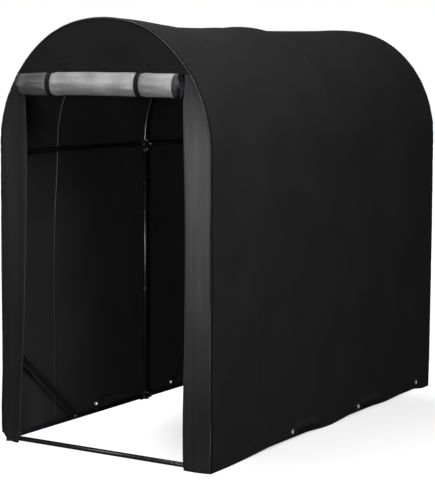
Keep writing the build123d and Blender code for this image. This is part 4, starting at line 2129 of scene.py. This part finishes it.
    def build(self) -> None:
        """Make the whole frame."""
        bolted = []
        for hoop in self.form.hoops:
            self.arch(hoop)
            for side in SIDES:
                self.straight(f"{side}_{hoop}_leg")
        for bay in BAYS:
            self.straight(f"{bay}_sill_bar")
            for side in SIDES:
                self.straight(f"{side}_{bay}_floor_rail")
                self.straight(f"{side}_{bay}_side_rail")
                bolted += self.brace(side, bay)
        for node in self.fittings:
            self.fitting(node)
        self.screws()
        self.bolts(bolted)


@dataclass
class Eyelets:
    """Plated eyelets pressed through the hem.

    The profile says how far each corner lies from its radius and above half the cloth's grip.
    """

    form: Form
    palette: Palette
    bore: float = 0.0060
    flange: float = 0.0118
    grip: float = 0.0016
    roll: Stations = ((0.0, -0.00128), (0.0004, 0.0004), (0.0015, 0.0013), (0.0030, 0.0013))
    rim: Stations = ((-0.0006, 0.0004), (0.0, -0.0006))
    sunk: float = 0.0002

    def build(self) -> None:
        """Make the three eyelets of each wall."""
        form = self.form
        outer = [(self.bore + beyond, self.grip + above) for beyond, above in self.roll]
        outer += [(self.flange + beyond, self.grip + above) for beyond, above in self.rim]
        profile = outer + [(radius, -height) for radius, height in reversed(outer)] + outer[:1]
        for name, side in SIDES.items():
            piece = Workpiece(f"{name}_wall_eyelets")
            for y, z in form.eyelets:
                place = Vector((side * (form.half - self.sunk), y, z))
                piece.lathe(profile, aimed(place, Vector((side, 0, 0))), 36)
            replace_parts(piece.finish([self.palette.metal]), f"{name}_eyelets")


# Studio


@dataclass(frozen=True)
class Softbox:
    """One area light."""

    name: str
    place: tuple[float, float, float]
    aim: tuple[float, float, float]
    size: float
    watts: float

    def build(self) -> None:
        """Hang the light and turn it to its aim."""
        lamp = bpy.data.lights.new(self.name, "AREA")
        lamp.shape = "SQUARE"
        lamp.size = self.size
        lamp.energy = self.watts
        made = bpy.data.objects.new(self.name, lamp)
        made.location = self.place
        away = Vector(self.place) - Vector(self.aim)
        made.rotation_mode = "QUATERNION"
        made.rotation_quaternion = away.to_track_quat("Z", "Y")
        bpy.context.scene.collection.objects.link(made)


@dataclass
class Studio:
    """Floor, lights, background and camera."""

    form: Form
    palette: Palette
    focal_pixels: float = 1546.41
    long_side_pixels: float = 495.0
    azimuth: float = 0.55589
    pitch: float = 0.11205
    roll: float = 0.00456
    camera_from_front: tuple[float, float, float] = (3.53155, -4.83127, 1.50382)
    ambient: float = 0.17
    sensor: float = 36.0
    far: float = 100.0
    floor_half: float = 30.0
    lamps: tuple[Softbox, ...] = (
        Softbox("key light", (2.35, -1.7, 2.75), (0.3, -0.5, 0.9), 1.6, 138.0),
        Softbox("top light", (-0.9, 0.2, 4.4), (0.0, 0.0, 1.2), 1.8, 84.0),
        Softbox("door light", (3.56, -8.48, 1.05), (-0.4, 0.0, 0.9), 1.95, 325.0),
        Softbox("brow light", (0.0, -1.45, 3.3), (0.0, -1.1, 1.5), 0.8, 16.0),
        Softbox("left light", (-2.6, -4.2, 2.4), (0.0, 0.0, 0.8), 1.6, 62.0),
        Softbox("edge light", (0.35, -5.2, 1.3), (-0.4, 0.0, 1.0), 0.34, 26.0),
        Softbox("rear light", (-1.9, 4.2, 1.0), (0.0, 0.6, 0.9), 0.9, 90.0),
    )

    def camera(self) -> None:
        """Set the camera at the fitted angle."""
        lens = bpy.data.cameras.new("view")
        lens.sensor_width = self.sensor
        lens.lens = self.focal_pixels / self.long_side_pixels * lens.sensor_width
        lens.clip_end = self.far
        made = bpy.data.objects.new("view", lens)
        bpy.context.scene.collection.objects.link(made)
        a, e = self.azimuth, self.pitch
        back = Vector((math.sin(a) * math.cos(e), -math.cos(a) * math.cos(e), math.sin(e)))
        right = (-back).cross(Vector((0, 0, 1))).normalized()
        up = back.cross(right)
        c, s = math.cos(self.roll), math.sin(self.roll)
        right, up = right * c + up * s, up * c - right * s
        x, y, z = self.camera_from_front
        spot = Vector((x, y + self.form.front, z))
        made.matrix_world = Matrix.Translation(spot) @ Matrix((right, up, back)).transposed().to_4x4()
        bpy.context.scene.camera = made

    def floor(self) -> None:
        """Lay the floor."""
        mesh = bmesh.new()
        bmesh.ops.create_grid(mesh, x_segments=2, y_segments=2, size=self.floor_half)
        data = bpy.data.meshes.new("studio floor")
        mesh.to_mesh(data)
        mesh.free()
        data.materials.append(self.palette.floor)
        made = bpy.data.objects.new("studio_floor", data)
        bpy.context.scene.collection.objects.link(made)

    def world(self) -> None:
        """White for the camera, and a plain ambient light for the rest."""
        world = bpy.data.worlds.new("studio world")
        world.use_nodes = True
        bpy.context.scene.world = world
        graph = Graph(world.node_tree)
        dim, white = (
            graph.node("ShaderNodeBackground", None, {"Color": grey(1.0), "Strength": strength})
            for strength in (self.ambient, 1.0)
        )
        shown = graph.blend(graph.camera_rays(), dim, white)
        graph.node("ShaderNodeOutputWorld", None, {"Surface": shown})

    def build(self) -> None:
        """Set up everything round the object."""
        self.camera()
        self.floor()
        self.world()
        for lamp in self.lamps:
            lamp.build()
        bpy.context.scene.view_settings.view_transform = "Standard"


def main() -> None:
    """Build the shelter's looks in order."""
    logging.basicConfig(level=logging.INFO, format="%(name)s %(message)s")
    form = Form.read()
    palette = Palette(form.front)
    Studio(form, palette).build()
    TubeFrame(form, palette).build()
    drape = Drape(form)
    CoverShell(form, drape, palette).build()
    Eyelets(form, palette).build()
    ends = EndPanels(form, drape, palette)
    ends.build()
    roll = DoorRoll(form, palette)
    roll.build()
    DoorStraps(form, palette, roll).build()
    Trims(form, drape, ends, palette).build()
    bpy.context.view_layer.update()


if __name__ == "__main__":
    main()
